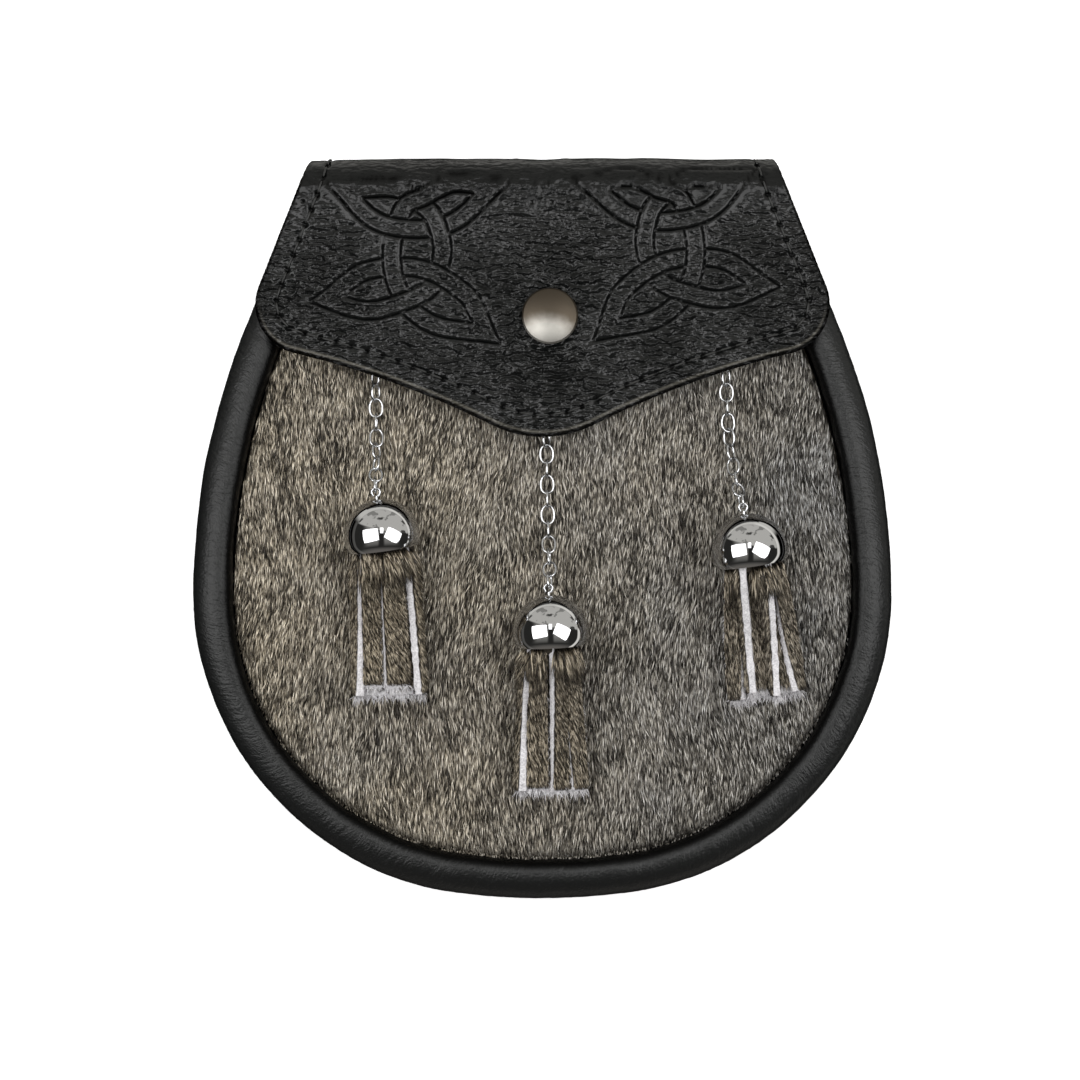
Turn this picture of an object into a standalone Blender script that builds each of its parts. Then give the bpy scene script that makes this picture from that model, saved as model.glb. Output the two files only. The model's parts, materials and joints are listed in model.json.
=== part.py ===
"""A semi-dress sporran pouch, lying on its back.

+Z is the front of the pouch, +Y points to its top (the fold of the flap) and +X to the right of someone
who looks at the front. The origin is on the surface that the pouch lies on, under its middle.

The body is a leather back panel, a side wall, a padded rim and a fur-covered front panel. One leather flap
is sewn to the back, folds over the mouth and is held by a press stud. Three chains come out from under
the flap, and each ends in a metal bell cap with a tassel of hide strips.

All sizes below are in millimetres; MM turns them into metres when a mesh is made.
"""

import math

import bmesh
import bpy
import numpy as np
from mathutils import Matrix, Vector

MM = 0.001
GAP = 0.3

# Outline of the front: tangent arcs from the bottom centre to the widest point and on to a straight top.
HALF_WIDTH = 95.0
HALF_HEIGHT = 100.8
WIDEST_Y = -17.0
LOWER_ARC = 83.0
SIDE_ARC = 195.0
SIDE_LEAN = math.radians(21.5)

# Heights above the surface that the pouch lies on.
CREST_LOW = 31.0
CREST_TOP = 23.5
CREST_FADE = 130.0
BACK_RISE = 2.5
BACK_RISE_FROM, BACK_RISE_TO = 0.0, 20.0

# Leather body.
BACK_THICK = 2.0
BACK_INSET = 0.8
BACK_TOP_Y = 95.0
WALL_THICK = 2.0
WALL_INSET = 3.5
RIM_WIDTH = 11.5
RIM_HEIGHT = 11.0
RIM_SQUARENESS = 2.3
RIM_END_Y = 92.0
FUR_THICK = 4.0
FUR_DEPTH = 5.0
FUR_CROWN = 3.5
FUR_TOP_Y = 88.0

# Flap: its lower edge is a tip arc, a long hollow arc and a corner arc that meets the straight side.
FLAP_THICK = 2.2
FLAP_TIP_Y = 24.6
FLAP_TIP_ARC = 31.0
FLAP_HOLLOW_ARC = 250.0
FLAP_STEEP = math.radians(26.6)
FLAP_SHALLOW = math.radians(13.5)
FLAP_CLEAR = 0.4
FLAP_CROWN = 3.0
FRONT_BEND = 8.0
BACK_BEND = 5.0
FLAP_TAIL_Y = 78.0

# Press stud.
STUD_X, STUD_Y = 2.0, 57.3
STUD_CAP_RADIUS = 7.65
STUD_CAP_HEIGHT = 2.6
STUD_SOCKET_RADIUS = 4.5

# Belt loops on the back, flattened under the pouch.
LOOP_X = 42.0
LOOP_WIDTH = 24.0
LOOP_Y = (32.0, 75.0)
LOOP_THICK = 2.0
LOOP_CORNER = 3.0
LOOP_SAG = 0.2

# Chain links: an oval of round wire.
LINK_LENGTH = 5.6
LINK_WIDTH = 4.1
LINK_WIRE = 0.62
LINK_PITCH = 4.12
LINK_POINTS = 12
WIRE_SIDES = 5
CHAIN_LIFT = 2.4
CHAIN_CLIMB = 17.0

# Bell caps: a ball with a hole for the wire eye at the top; its lip curls in below the widest place.
CAP_RADIUS = 10.2
CAP_CUT = 4.1
CAP_CURL = 5.5
CAP_CURL_FROM = math.radians(-6.0)
CAP_WALL = 0.8
CAP_HOLE = 0.9
CAP_PITCH = math.radians(5.0)
EYE_WIRE = 0.7
EYE_RADIUS = 1.1
STEM_LENGTH = 5.0

# Tassel heads and strips.
HEAD_RADIUS = 6.8
HEAD_FROM, HEAD_TO = -4.0, 5.5
STRIP_THICK = 1.9
STRIP_START = 1.5
STRIP_DROP = 26.0
STRIP_FLARE = 0.6

# Each tassel: the middle of its cap, the cap's lean, the strips' lean (degrees) and their reach from the
# cap's middle.
TASSELS = {
    "left": {"x": -43.1, "y": -2.3, "cap_lean": 8.0, "strip_lean": 1.5, "reach": 42.8},
    "middle": {"x": 2.2, "y": -28.1, "cap_lean": 3.0, "strip_lean": 1.5, "reach": 42.6},
    "right": {"x": 55.7, "y": -6.3, "cap_lean": 9.0, "strip_lean": 6.5, "reach": 39.6},
}

# The strips of each tassel: sideways place at the cap and at the end, height over the cap's middle, height
# over the fur at the end, width at the cap and at the end, roll at the cap and at the end (degrees), and
# how much sooner it ends. A strip with a large roll stands on its edge.
STRIP_COLUMNS = (
    "side_cap", "side_end", "rise_cap", "rise_end", "width_cap", "width_end", "roll_cap", "roll_end", "short"
)
STRIPS = {
    "left": (
        (-5.8, -7.7, 0.4, 3.4, 3.2, 5.2, 70.0, 82.0, 0.0),
        (-3.0, -3.7, 4.0, 4.6, 4.8, 5.6, 4.0, 4.0, 2.8),
        (1.9, 2.9, 4.0, 4.6, 5.0, 7.4, -14.0, -28.0, 2.6),
        (6.0, 9.0, 0.4, 3.4, 3.4, 5.2, -50.0, -80.0, 0.0),
        (-2.7, -3.4, -3.4, 1.6, 5.0, 6.4, 0.0, 0.0, 0.0),
        (2.7, 3.8, -3.4, 1.6, 5.0, 6.8, 0.0, 0.0, 0.0),
    ),
    "middle": (
        (-4.9, -9.2, 1.2, 3.4, 3.4, 5.2, 84.0, 80.0, 0.0),
        (-2.9, -4.7, 4.0, 4.6, 4.0, 6.2, 5.0, 5.0, 0.6),
        (1.6, 2.0, 4.2, 4.9, 4.6, 6.4, -32.0, -22.0, 0.0),
        (5.2, 6.4, 1.6, 4.0, 3.4, 4.8, 0.0, -38.0, 0.0),
        (-2.7, -3.8, -3.4, 1.6, 5.0, 6.0, 0.0, 0.0, 0.0),
        (2.7, 3.6, -3.4, 1.6, 5.0, 6.4, 0.0, 0.0, 0.4),
    ),
    "right": (
        (-5.4, -7.4, 0.4, 3.2, 3.2, 5.0, 0.0, 55.0, 0.0),
        (-2.5, -3.1, 3.6, 4.4, 4.0, 5.0, 96.0, 96.0, 1.5),
        (3.1, 3.2, 3.2, 4.4, 4.0, 5.0, 60.0, 96.0, 0.0),
        (6.0, 8.9, 0.4, 3.4, 3.2, 5.0, -10.0, -78.0, 0.6),
        (-3.4, -5.2, -3.4, 1.8, 4.4, 4.6, 0.0, 0.0, 0.0),
        (0.0, 0.1, -2.4, 2.6, 4.8, 6.0, 0.0, 0.0, 0.8),
        (3.4, 6.0, -3.4, 1.8, 4.4, 4.6, 0.0, 0.0, 0.4),
    ),
}

# Each chain's route from the eye of its cap upwards, as sideways place and height on the front, and the
# turn of each link about the chain, from the cap upwards (0 lies flat on the fur, 90 stands on edge).
CHAINS = {
    "left": {
        "route": ((-44.9, 12.0), (-45.0, 23.0), (-45.3, 38.0), (-45.5, 52.0)),
        "turns": (84, 4, -62, 58, 8, 88, 0, 58, -58),
    },
    "middle": {
        "route": ((1.9, -12.5), (1.4, 4.0), (1.1, 21.0), (0.9, 40.0)),
        "turns": (70, -12, 82, 0, 90, 4, 88, -4, 90, 0, 62),
    },
    "right": {
        "route": ((52.9, 9.5), (51.0, 21.0), (50.1, 33.0), (49.6, 52.0)),
        "turns": (-72, 28, 90, -30, 60, -42, 14, 90, 0, 54, -60),
    },
}


# ---------------------------------------------------------------- heights and outlines


def smooth_step(value):
    """0 below 0, 1 above 1 and a smooth S between."""
    value = np.clip(value, 0.0, 1.0)
    return value * value * (3.0 - 2.0 * value)


def crest(y):
    """Height of the rim's crest, which falls towards the mouth."""
    fall = smooth_step((HALF_HEIGHT - FLAP_THICK / 2 - FRONT_BEND - y) / CREST_FADE)
    return CREST_TOP + (CREST_LOW - CREST_TOP) * fall


def back_under(y):
    """Underside of the back panel, which rises over the belt loops and the flap's tail."""
    return BACK_RISE * smooth_step((y - BACK_RISE_FROM) / (BACK_RISE_TO - BACK_RISE_FROM))


def bottom_arc():
    """Turn of the arc across the bottom, and its radius, which follow from the other arcs."""
    across = HALF_WIDTH - LOWER_ARC
    turn = 2 * math.atan2(WIDEST_Y + HALF_HEIGHT - LOWER_ARC, across)
    return turn, LOWER_ARC + across / math.sin(turn)


def edge(t, inset=0.0):
    """Point of the outline, moved in by inset. t runs from 0 at the bottom centre to 4 at the top right:
    bottom arc, lower arc, side arc, straight side. Negative t is the left side."""
    side, t = math.copysign(1.0, t), abs(t)
    turn, bottom = bottom_arc()
    if t < 1:
        centre, radius, angle = (0.0, bottom - HALF_HEIGHT), bottom, turn * t - math.pi / 2
    elif t < 2:
        centre, radius = (HALF_WIDTH - LOWER_ARC, WIDEST_Y), LOWER_ARC
        angle = (turn - math.pi / 2) * (2 - t)
    else:
        centre, radius = (HALF_WIDTH - SIDE_ARC, WIDEST_Y), SIDE_ARC
        angle = SIDE_LEAN * min(t - 2, 1.0)
    normal = np.array([math.cos(angle), math.sin(angle)])
    point = np.array(centre) + (radius - inset) * normal
    if t > 3:
        rise = (t - 3) * (HALF_HEIGHT - straight_from()[1])
        point = point + rise * np.array([-math.tan(SIDE_LEAN), 1.0])
    return np.array([side * point[0], point[1]])


def straight_from():
    """Where the side arc ends and the straight side starts."""
    return (
        HALF_WIDTH - SIDE_ARC + SIDE_ARC * math.cos(SIDE_LEAN),
        WIDEST_Y + SIDE_ARC * math.sin(SIDE_LEAN),
    )


def edge_t(y, inset=0.0):
    """The t on the straight side at which the outline, moved in by inset, has this height."""
    low = straight_from()[1]
    return 3 + (y + inset * math.sin(SIDE_LEAN) - low) / (HALF_HEIGHT - low)


def straight_width(y, inset=0.0):
    """Half the width between the straight sides, carried on above and below them."""
    x, low = straight_from()
    return x - inset / math.cos(SIDE_LEAN) - (y - low) * math.tan(SIDE_LEAN)


def half_width(y, inset=0.0):
    """Half the width of the outline at height y, moved in by inset."""
    turn, bottom = bottom_arc()
    if y > WIDEST_Y + (SIDE_ARC - inset) * math.sin(SIDE_LEAN):
        return straight_width(y, inset)
    if y > WIDEST_Y:
        return HALF_WIDTH - SIDE_ARC + math.sqrt((SIDE_ARC - inset) ** 2 - (y - WIDEST_Y) ** 2)
    if y > WIDEST_Y - (LOWER_ARC - inset) * math.cos(turn):
        return HALF_WIDTH - LOWER_ARC + math.sqrt((LOWER_ARC - inset) ** 2 - (y - WIDEST_Y) ** 2)
    return math.sqrt(max((bottom - inset) ** 2 - (y - bottom + HALF_HEIGHT) ** 2, 0.0))


def fur_top(x, y):
    """Top of the fur panel: below the rim's crest, and crowned in the middle."""
    inset = RIM_WIDTH + GAP
    across = x / max(half_width(y, inset), 1.0)
    down = min(y, 0.0) / (HALF_HEIGHT - inset)
    crown = max(1 - across * across, 0.0) * max(1 - down * down, 0.0)
    return crest(y) - FUR_DEPTH + FUR_CROWN * crown


def flap_middle(x, y):
    """Middle of the flap's leather over the front: clear of the rim, and crowned over the fur."""
    across = x / straight_width(y)
    return crest(y) + FLAP_CLEAR + FLAP_CROWN * (1 - across * across) + FLAP_THICK / 2


def flap_edge(t):
    """Point of the flap's lower edge. t runs from 0 at the tip to 3 at the top of the right corner: tip
    arc, hollow arc, corner arc. Negative t is the left side."""
    side, t = math.copysign(1.0, t), abs(t)
    tip = np.array([0.0, FLAP_TIP_Y + FLAP_TIP_ARC])
    angle = min(t, 1.0) * FLAP_STEEP
    point = tip + FLAP_TIP_ARC * np.array([math.sin(angle), -math.cos(angle)])
    if t > 1:
        angle = FLAP_STEEP + (FLAP_SHALLOW - FLAP_STEEP) * min(t - 1, 1.0)
        start = np.array([math.sin(FLAP_STEEP), -math.cos(FLAP_STEEP)])
        here = np.array([math.sin(angle), -math.cos(angle)])
        point = point + FLAP_HOLLOW_ARC * (start - here)
    if t > 2:
        out = np.array([math.cos(SIDE_LEAN), math.sin(SIDE_LEAN)])
        into = np.array([-math.sin(FLAP_SHALLOW), math.cos(FLAP_SHALLOW)])
        room = out @ np.array(straight_from()) - out @ point
        radius = room / (1 + out @ into)
        angle = FLAP_SHALLOW + (math.pi / 2 + SIDE_LEAN - FLAP_SHALLOW) * (t - 2)
        point = point + radius * (into + np.array([math.sin(angle), -math.cos(angle)]))
    return np.array([side * point[0], point[1]])


# ---------------------------------------------------------------- mesh helpers


def patch(left, right, bottom, top):
    """Grid of points between four edges, blended evenly from all of them (a Coons patch). left and right
    run upwards, bottom and top to the right. The result is rows of points, from the bottom up."""
    left, right, bottom, top = map(np.array, (left, right, bottom, top))
    v = np.linspace(0, 1, len(left))[:, None, None]
    u = np.linspace(0, 1, len(bottom))[None, :, None]
    low_corners = (1 - u) * bottom[0] + u * bottom[-1]
    high_corners = (1 - u) * top[0] + u * top[-1]
    corners = (1 - v) * low_corners + v * high_corners
    across = (1 - u) * left[:, None] + u * right[:, None]
    upwards = (1 - v) * bottom[None] + v * top[None]
    return across + upwards - corners


def front_patch(inset, top_y, columns, rows):
    """Grid that fills the pouch's outline, moved in by inset, up to a straight edge at top_y."""
    corner_t = 1.5
    top_t = edge_t(top_y, inset)
    side = [edge(t, inset) for t in np.linspace(corner_t, top_t, rows + 1)]
    bottom = [edge(t, inset) for t in np.linspace(-corner_t, corner_t, columns + 1)]
    top = [(x, top_y) for x in np.linspace(-side[-1][0], side[-1][0], columns + 1)]
    return patch([(-x, y) for x, y in side], side, bottom, top)


def new_object(name, mesh, colour, roughness, metallic=0.0):
    """Object of this mesh with its own material, under the pouch's empty."""
    material = bpy.data.materials.new(name)
    material.use_nodes = True
    shader = material.node_tree.nodes["Principled BSDF"]
    shader.inputs["Base Color"].default_value = (*colour, 1.0)
    shader.inputs["Roughness"].default_value = roughness
    shader.inputs["Metallic"].default_value = metallic
    obj = bpy.data.objects.new(name, mesh)
    obj.parent = bpy.data.objects["sporran"]
    bpy.context.scene.collection.objects.link(obj)
    if not mesh.materials:
        mesh.materials.append(material)
    return obj


def finish_mesh(name, bm, sharp=40.0):
    """Mesh in metres from a bmesh in millimetres, with its faces turned outwards and shaded smooth."""
    bmesh.ops.recalc_face_normals(bm, faces=bm.faces)
    bmesh.ops.scale(bm, vec=(MM, MM, MM), verts=bm.verts)
    mesh = bpy.data.meshes.new(name)
    bm.to_mesh(mesh)
    bm.free()
    mesh.shade_smooth()
    mesh.set_sharp_from_angle(angle=math.radians(sharp))
    return mesh


def sheet_mesh(name, grid, low, high):
    """Closed sheet: the grid of points moved along its normals by low on one side and high on the other."""
    grid = np.array(grid)
    rows, columns = grid.shape[:2]
    normals = np.cross(np.gradient(grid, axis=1), np.gradient(grid, axis=0))
    normals /= np.linalg.norm(normals, axis=2, keepdims=True)
    bm = bmesh.new()
    sides = []
    for layer in (grid + low * normals, grid + high * normals):
        verts = [[bm.verts.new(point) for point in row] for row in layer]
        for i in range(rows - 1):
            for j in range(columns - 1):
                bm.faces.new((verts[i][j], verts[i][j + 1], verts[i + 1][j + 1], verts[i + 1][j]))
        border = verts[0] + [row[-1] for row in verts[1:]]
        border += verts[-1][-2::-1] + [row[0] for row in verts[-2:0:-1]]
        sides.append(border)
    for i, vert in enumerate(sides[0]):
        bm.faces.new((sides[0][i - 1], vert, sides[1][i], sides[1][i - 1]))
    return finish_mesh(name, bm)


def loft(bm, rings, closed=False):
    """Adds the skin through rings of points to the bmesh, closed on itself or capped at both ends."""
    loops = [[bm.verts.new(point) for point in ring] for ring in rings]
    pairs = list(zip(loops, loops[1:]))
    if closed:
        pairs.append((loops[-1], loops[0]))
    else:
        bm.faces.new(loops[0])
        bm.faces.new(loops[-1])
    for near, far in pairs:
        for i in range(len(near)):
            bm.faces.new((near[i - 1], near[i], far[i], far[i - 1]))


def wire_mesh(name, path, diameter, closed=False):
    """Round wire along a flat or gently bent path."""
    path = np.array(path)
    count = len(path)
    if closed:
        along = np.roll(path, -1, axis=0) - np.roll(path, 1, axis=0)
    else:
        along = np.gradient(path, axis=0)
    along /= np.linalg.norm(along, axis=1, keepdims=True)
    plane = np.cross(along[0], path[count // 3] - path[0])
    plane /= np.linalg.norm(plane)
    turns = 2 * math.pi * np.arange(WIRE_SIDES) / WIRE_SIDES
    rings = []
    for point, direction in zip(path, along):
        side = np.cross(direction, plane)
        rings.append([point + diameter / 2 * (math.cos(a) * side + math.sin(a) * plane) for a in turns])
    bm = bmesh.new()
    loft(bm, rings, closed)
    return finish_mesh(name, bm, sharp=80.0)


def turned_mesh(name, profile, sides, closed=False):
    """Solid turned about Y through (radius, height) points. An open profile starts and ends on the axis."""
    bm = bmesh.new()
    points = [(radius, height, 0.0) for radius, height in profile]
    verts = [bm.verts.new(point) for point in points]
    edges = [bm.edges.new(pair) for pair in zip(verts, verts[1:])]
    if closed:
        edges.append(bm.edges.new((verts[-1], verts[0])))
    bmesh.ops.spin(
        bm, geom=verts + edges, cent=(0, 0, 0), axis=(0, 1, 0), angle=2 * math.pi, steps=sides
    )
    bmesh.ops.remove_doubles(bm, verts=bm.verts, dist=0.001)
    return finish_mesh(name, bm, sharp=35.0)


# ---------------------------------------------------------------- leather body

BLACK_LEATHER = (0.02, 0.021, 0.021)
RIM_LEATHER = (0.035, 0.036, 0.038)
FUR_COLOUR = (0.16, 0.145, 0.12)
STEEL = (0.72, 0.73, 0.75)
GUNMETAL = (0.35, 0.34, 0.32)


def back_panel():
    grid = [
        [(x, y, back_under(y)) for x, y in row]
        for row in front_patch(BACK_INSET, BACK_TOP_Y, columns=14, rows=14)
    ]
    new_object("back_panel", sheet_mesh("back_panel", grid, 0.0, BACK_THICK), BLACK_LEATHER, 0.6)


def rim_stations():
    """The t values along the rim and side wall, from the left end round the bottom to the right end."""
    end = edge_t(RIM_END_Y)
    right = np.concatenate(
        [np.linspace(0, 1, 3)[1:], np.linspace(1, 2, 11)[1:], np.linspace(2, 3, 6)[1:], [(3 + end) / 2, end]]
    )
    return [*-right[::-1], 0.0, *right]


def gusset():
    rings = []
    for t in rim_stations():
        y = edge(t)[1]
        low = back_under(y) + BACK_THICK + GAP
        high = crest(y) - RIM_HEIGHT - GAP
        outside, inside = edge(t, WALL_INSET), edge(t, WALL_INSET + WALL_THICK)
        rings.append([(*outside, low), (*outside, high), (*inside, high), (*inside, low)])
    bm = bmesh.new()
    loft(bm, rings)
    new_object("gusset", finish_mesh("gusset", bm), BLACK_LEATHER, 0.55)


def rim():
    """Padded roll: a rounded section carried round the outline, with its crest at the height of crest()."""
    sides = 10
    section = []
    for angle in 2 * math.pi * np.arange(sides) / sides:
        across, up = math.cos(angle), math.sin(angle)
        across = math.copysign(abs(across) ** (2 / RIM_SQUARENESS), across)
        up = math.copysign(abs(up) ** (2 / RIM_SQUARENESS), up)
        section.append((RIM_WIDTH / 2 * (1 - across), RIM_HEIGHT / 2 * up))
    rings = []
    for t in rim_stations():
        middle = crest(edge(t)[1]) - RIM_HEIGHT / 2
        rings.append([(*edge(t, inset), middle + up) for inset, up in section])
    bm = bmesh.new()
    loft(bm, rings)
    new_object("rim", finish_mesh("rim", bm, sharp=60.0), RIM_LEATHER, 0.45)


def fur_panel():
    grid = [
        [(x, y, fur_top(x, y)) for x, y in row]
        for row in front_patch(RIM_WIDTH + GAP, FUR_TOP_Y, columns=14, rows=14)
    ]
    new_object("fur_panel", sheet_mesh("fur_panel", grid, -FUR_THICK, 0.0), FUR_COLOUR, 0.9)


def flap_fold(start):
    """Points of the flap's fold and tail, over the mouth and down the back, above one point of its front."""
    x, y, z = start
    back_y = HALF_HEIGHT - FLAP_THICK / 2 - BACK_BEND
    tail = FLAP_THICK / 2
    places = []
    for angle in np.linspace(math.pi / 2, 0, 5)[1:]:
        places.append((y + FRONT_BEND * math.cos(angle), z - FRONT_BEND + FRONT_BEND * math.sin(angle)))
    for angle in np.linspace(0, -math.pi / 2, 5):
        rise = BACK_BEND + BACK_BEND * math.sin(angle)
        places.append((back_y + BACK_BEND * math.cos(angle), tail + rise))
    places.append(((back_y + FLAP_TAIL_Y) / 2, tail))
    places.append((FLAP_TAIL_Y, tail))
    share = x / straight_width(y)
    return [(share * straight_width(py), py, pz) for py, pz in places]


def flap():
    columns, rows = 22, 9
    corner_t = 2.5
    fold_y = HALF_HEIGHT - FLAP_THICK / 2 - FRONT_BEND
    side = [flap_edge(t) for t in np.linspace(corner_t, 3, 3)]
    low = side[-1][1]
    side += [(straight_width(y), y) for y in np.linspace(low, fold_y, rows - 1)[1:]]
    bottom = [flap_edge(t) for t in np.linspace(-corner_t, corner_t, columns + 1)]
    top = [(x, fold_y) for x in np.linspace(-side[-1][0], side[-1][0], columns + 1)]
    front = patch([(-x, y) for x, y in side], side, bottom, top)
    grid = [[(x, y, flap_middle(x, y)) for x, y in row] for row in front]
    folds = [flap_fold(point) for point in grid[-1]]
    grid += [list(row) for row in zip(*folds)]
    new_object("flap", sheet_mesh("flap", grid, -FLAP_THICK / 2, FLAP_THICK / 2), BLACK_LEATHER, 0.55)


def belt_loops():
    """Two flattened loops: thin plates with round corners whose ends rise to the back panel."""
    low, high = LOOP_Y
    for name, x in (("belt_loop_left", -LOOP_X), ("belt_loop_right", LOOP_X)):
        rows = []
        for share in (0.0, 0.02, 0.07, 0.16, 0.5, 0.84, 0.93, 0.98, 1.0):
            y = low + (high - low) * share
            from_end = min(y - low, high - y)
            corner = LOOP_CORNER - math.sqrt(max(LOOP_CORNER**2 - max(LOOP_CORNER - from_end, 0.0) ** 2, 0.0))
            rise = LOOP_SAG * (1 - smooth_step(share / 0.16 if share < 0.5 else (1 - share) / 0.16))
            half = LOOP_WIDTH / 2 - corner
            rows.append([(x + half * side, y, rise) for side in (-1, 0, 1)])
        new_object(name, sheet_mesh(name, rows, 0.0, LOOP_THICK), BLACK_LEATHER, 0.6)


# ---------------------------------------------------------------- press stud


def press_stud():
    """Cap on the flap and a plain post under it, both square to the flap's slope at the stud."""
    radius, height = STUD_CAP_RADIUS, STUD_CAP_HEIGHT
    shoulder = 0.9
    dome = [(0.0, 0.0), (radius - 0.7, 0.0), (radius, 0.5), (radius - 0.15, shoulder)]
    ball = (radius**2 + (height - shoulder) ** 2) / (2 * (height - shoulder))
    for share in (0.8, 0.55, 0.3):
        reach = share * radius
        dome.append((reach, height - ball + math.sqrt(ball**2 - reach**2)))
    dome.append((0.0, height))
    low = fur_top(STUD_X, STUD_Y) + 2 * GAP
    flap_z = flap_middle(STUD_X, STUD_Y)
    high = flap_z - FLAP_THICK / 2 - GAP
    post = [(0.0, 0.0), (STUD_SOCKET_RADIUS, 0.0), (STUD_SOCKET_RADIUS, high - low), (0.0, high - low)]
    slope = math.atan((flap_middle(STUD_X, STUD_Y + 1) - flap_middle(STUD_X, STUD_Y - 1)) / 2)
    upright = Matrix.Rotation(math.pi / 2 + slope, 4, "X")
    for name, profile, sides, foot in (
        ("snap_cap", dome, 16, flap_z + FLAP_THICK / 2 + GAP),
        ("snap_socket", post, 12, low),
    ):
        obj = new_object(name, turned_mesh(name, profile, sides), GUNMETAL, 0.3, 1.0)
        obj.matrix_basis = Matrix.Translation(Vector((STUD_X, STUD_Y, foot)) * MM) @ upright


# ---------------------------------------------------------------- tassels and chains


def cap_frame(tassel):
    """Middle of a bell cap, and the turn that points its Y axis out of its top."""
    middle = Vector((tassel["x"], tassel["y"], fur_top(tassel["x"], tassel["y"]) + GAP + CAP_RADIUS))
    lean = Matrix.Rotation(math.radians(tassel["cap_lean"]), 4, "Z")
    return middle, lean @ Matrix.Rotation(CAP_PITCH, 4, "X")


def cap_mesh():
    """Bell cap: ball with a round hole at the top, and a lip that curls in on a tighter arc."""
    middle = CAP_RADIUS - CAP_CURL
    curl_x, curl_y = middle * math.cos(CAP_CURL_FROM), middle * math.sin(CAP_CURL_FROM)
    lip = -math.asin((CAP_CUT + curl_y) / CAP_CURL)
    profile = []
    for wall, count, direction in ((0.0, 7, 1), (CAP_WALL, 6, -1)):
        radius, curl = CAP_RADIUS - wall, CAP_CURL - wall
        ball = np.linspace(math.acos(CAP_HOLE / radius), CAP_CURL_FROM, count)
        ring = [(radius * math.cos(a), radius * math.sin(a)) for a in ball]
        bend = np.linspace(CAP_CURL_FROM, lip, 3)[1:]
        ring += [(curl_x + curl * math.cos(a), curl_y + curl * math.sin(a)) for a in bend]
        profile += ring[::direction]
    return turned_mesh("tassel_cap", profile, 14, closed=True)


def eye_mesh():
    """Wire eye: a stem through the cap's hole and a ring above it."""
    ring_y = CAP_RADIUS + GAP + EYE_WIRE / 2 + EYE_RADIUS
    open_angle = math.asin((EYE_WIRE + 0.1) / (2 * EYE_RADIUS))
    path = [(0.0, CAP_RADIUS - STEM_LENGTH, 0.0), (0.0, CAP_RADIUS - STEM_LENGTH / 2, 0.0)]
    for angle in np.linspace(-math.pi / 2, 1.5 * math.pi - 2 * open_angle, 12):
        path.append((EYE_RADIUS * math.cos(angle), ring_y + EYE_RADIUS * math.sin(angle), 0.0))
    return wire_mesh("tassel_eye", path, EYE_WIRE)


def strip_rings(tassel, strip):
    """Rings of four points along one strip: it leaves the cap, drops on to the fur and lies on it."""
    row = dict(zip(STRIP_COLUMNS, strip))
    lean = math.radians(tassel["strip_lean"])
    along = np.array([math.sin(lean), -math.cos(lean)])
    side = np.array([math.cos(lean), math.sin(lean)])
    centre = np.array([tassel["x"], tassel["y"]])
    axis_rise = GAP + CAP_RADIUS
    rings = []
    for reach in np.linspace(STRIP_START, tassel["reach"] - row["short"], 8):
        part = (reach - STRIP_START) / (tassel["reach"] - STRIP_START)
        spread = part**STRIP_FLARE
        drop = smooth_step((reach - CAP_CUT) / STRIP_DROP)
        sideways = row["side_cap"] + (row["side_end"] - row["side_cap"]) * spread
        width = row["width_cap"] + (row["width_end"] - row["width_cap"]) * spread
        x, y = centre + along * reach + side * sideways
        rise = (axis_rise + row["rise_cap"]) * (1 - drop) + row["rise_end"] * drop
        roll = math.radians(row["roll_cap"] + (row["roll_end"] - row["roll_cap"]) * part**2)
        flat = np.array([*(side * math.cos(roll)), math.sin(roll)])
        thin = np.array([*(-side * math.sin(roll)), math.cos(roll)])
        middle = np.array([x, y, fur_top(x, y) + rise])
        corners = ((-1, -1), (1, -1), (1, 1), (-1, 1))
        rings.append([middle + flat * width / 2 * i + thin * STRIP_THICK / 2 * j for i, j in corners])
    return rings


def tassel_body(name, tassel, strips):
    """Tassel: strips fused to a round head inside the bell cap."""
    middle, turn = cap_frame(tassel)
    head = [(0.0, HEAD_FROM), (HEAD_RADIUS - 1, HEAD_FROM), (HEAD_RADIUS, HEAD_FROM + 1)]
    head += [(HEAD_RADIUS, HEAD_TO - 1), (HEAD_RADIUS - 1, HEAD_TO), (0.0, HEAD_TO)]
    mesh = turned_mesh(name, [(radius, -reach) for radius, reach in head], 12)
    mesh.transform(Matrix.Translation(middle * MM) @ turn)
    body = new_object(name, mesh, FUR_COLOUR, 0.9)
    bm = bmesh.new()
    for strip in strips:
        loft(bm, strip_rings(tassel, strip))
    guide = new_object(name + "_strips", finish_mesh(name + "_strips", bm), FUR_COLOUR, 0.9)
    guide.hide_render = True
    guide.display_type = "WIRE"
    union = body.modifiers.new("fuse strips", "BOOLEAN")
    union.operation = "UNION"
    union.use_self = True
    union.object = guide


def tassels():
    cap, eye = cap_mesh(), eye_mesh()
    for side, tassel in TASSELS.items():
        middle, turn = cap_frame(tassel)
        for name, mesh in (("tassel_cap_" + side, cap), ("tassel_eye_" + side, eye)):
            obj = new_object(name, mesh, STEEL, 0.1, 1.0)
            obj.matrix_basis = Matrix.Translation(middle * MM) @ turn
        tassel_body("tassel_" + side, tassel, STRIPS[side])


def link_mesh():
    """Oval link of round wire, long way along Y, flat in XY."""
    radius_x = (LINK_WIDTH - LINK_WIRE) / 2
    radius_y = (LINK_LENGTH - LINK_WIRE) / 2
    path = []
    for angle in 2 * math.pi * (np.arange(LINK_POINTS) + 0.5) / LINK_POINTS:
        path.append((radius_x * math.cos(angle), radius_y * math.sin(angle), 0.0))
    return wire_mesh("chain_link", path, LINK_WIRE, closed=True)


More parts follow.
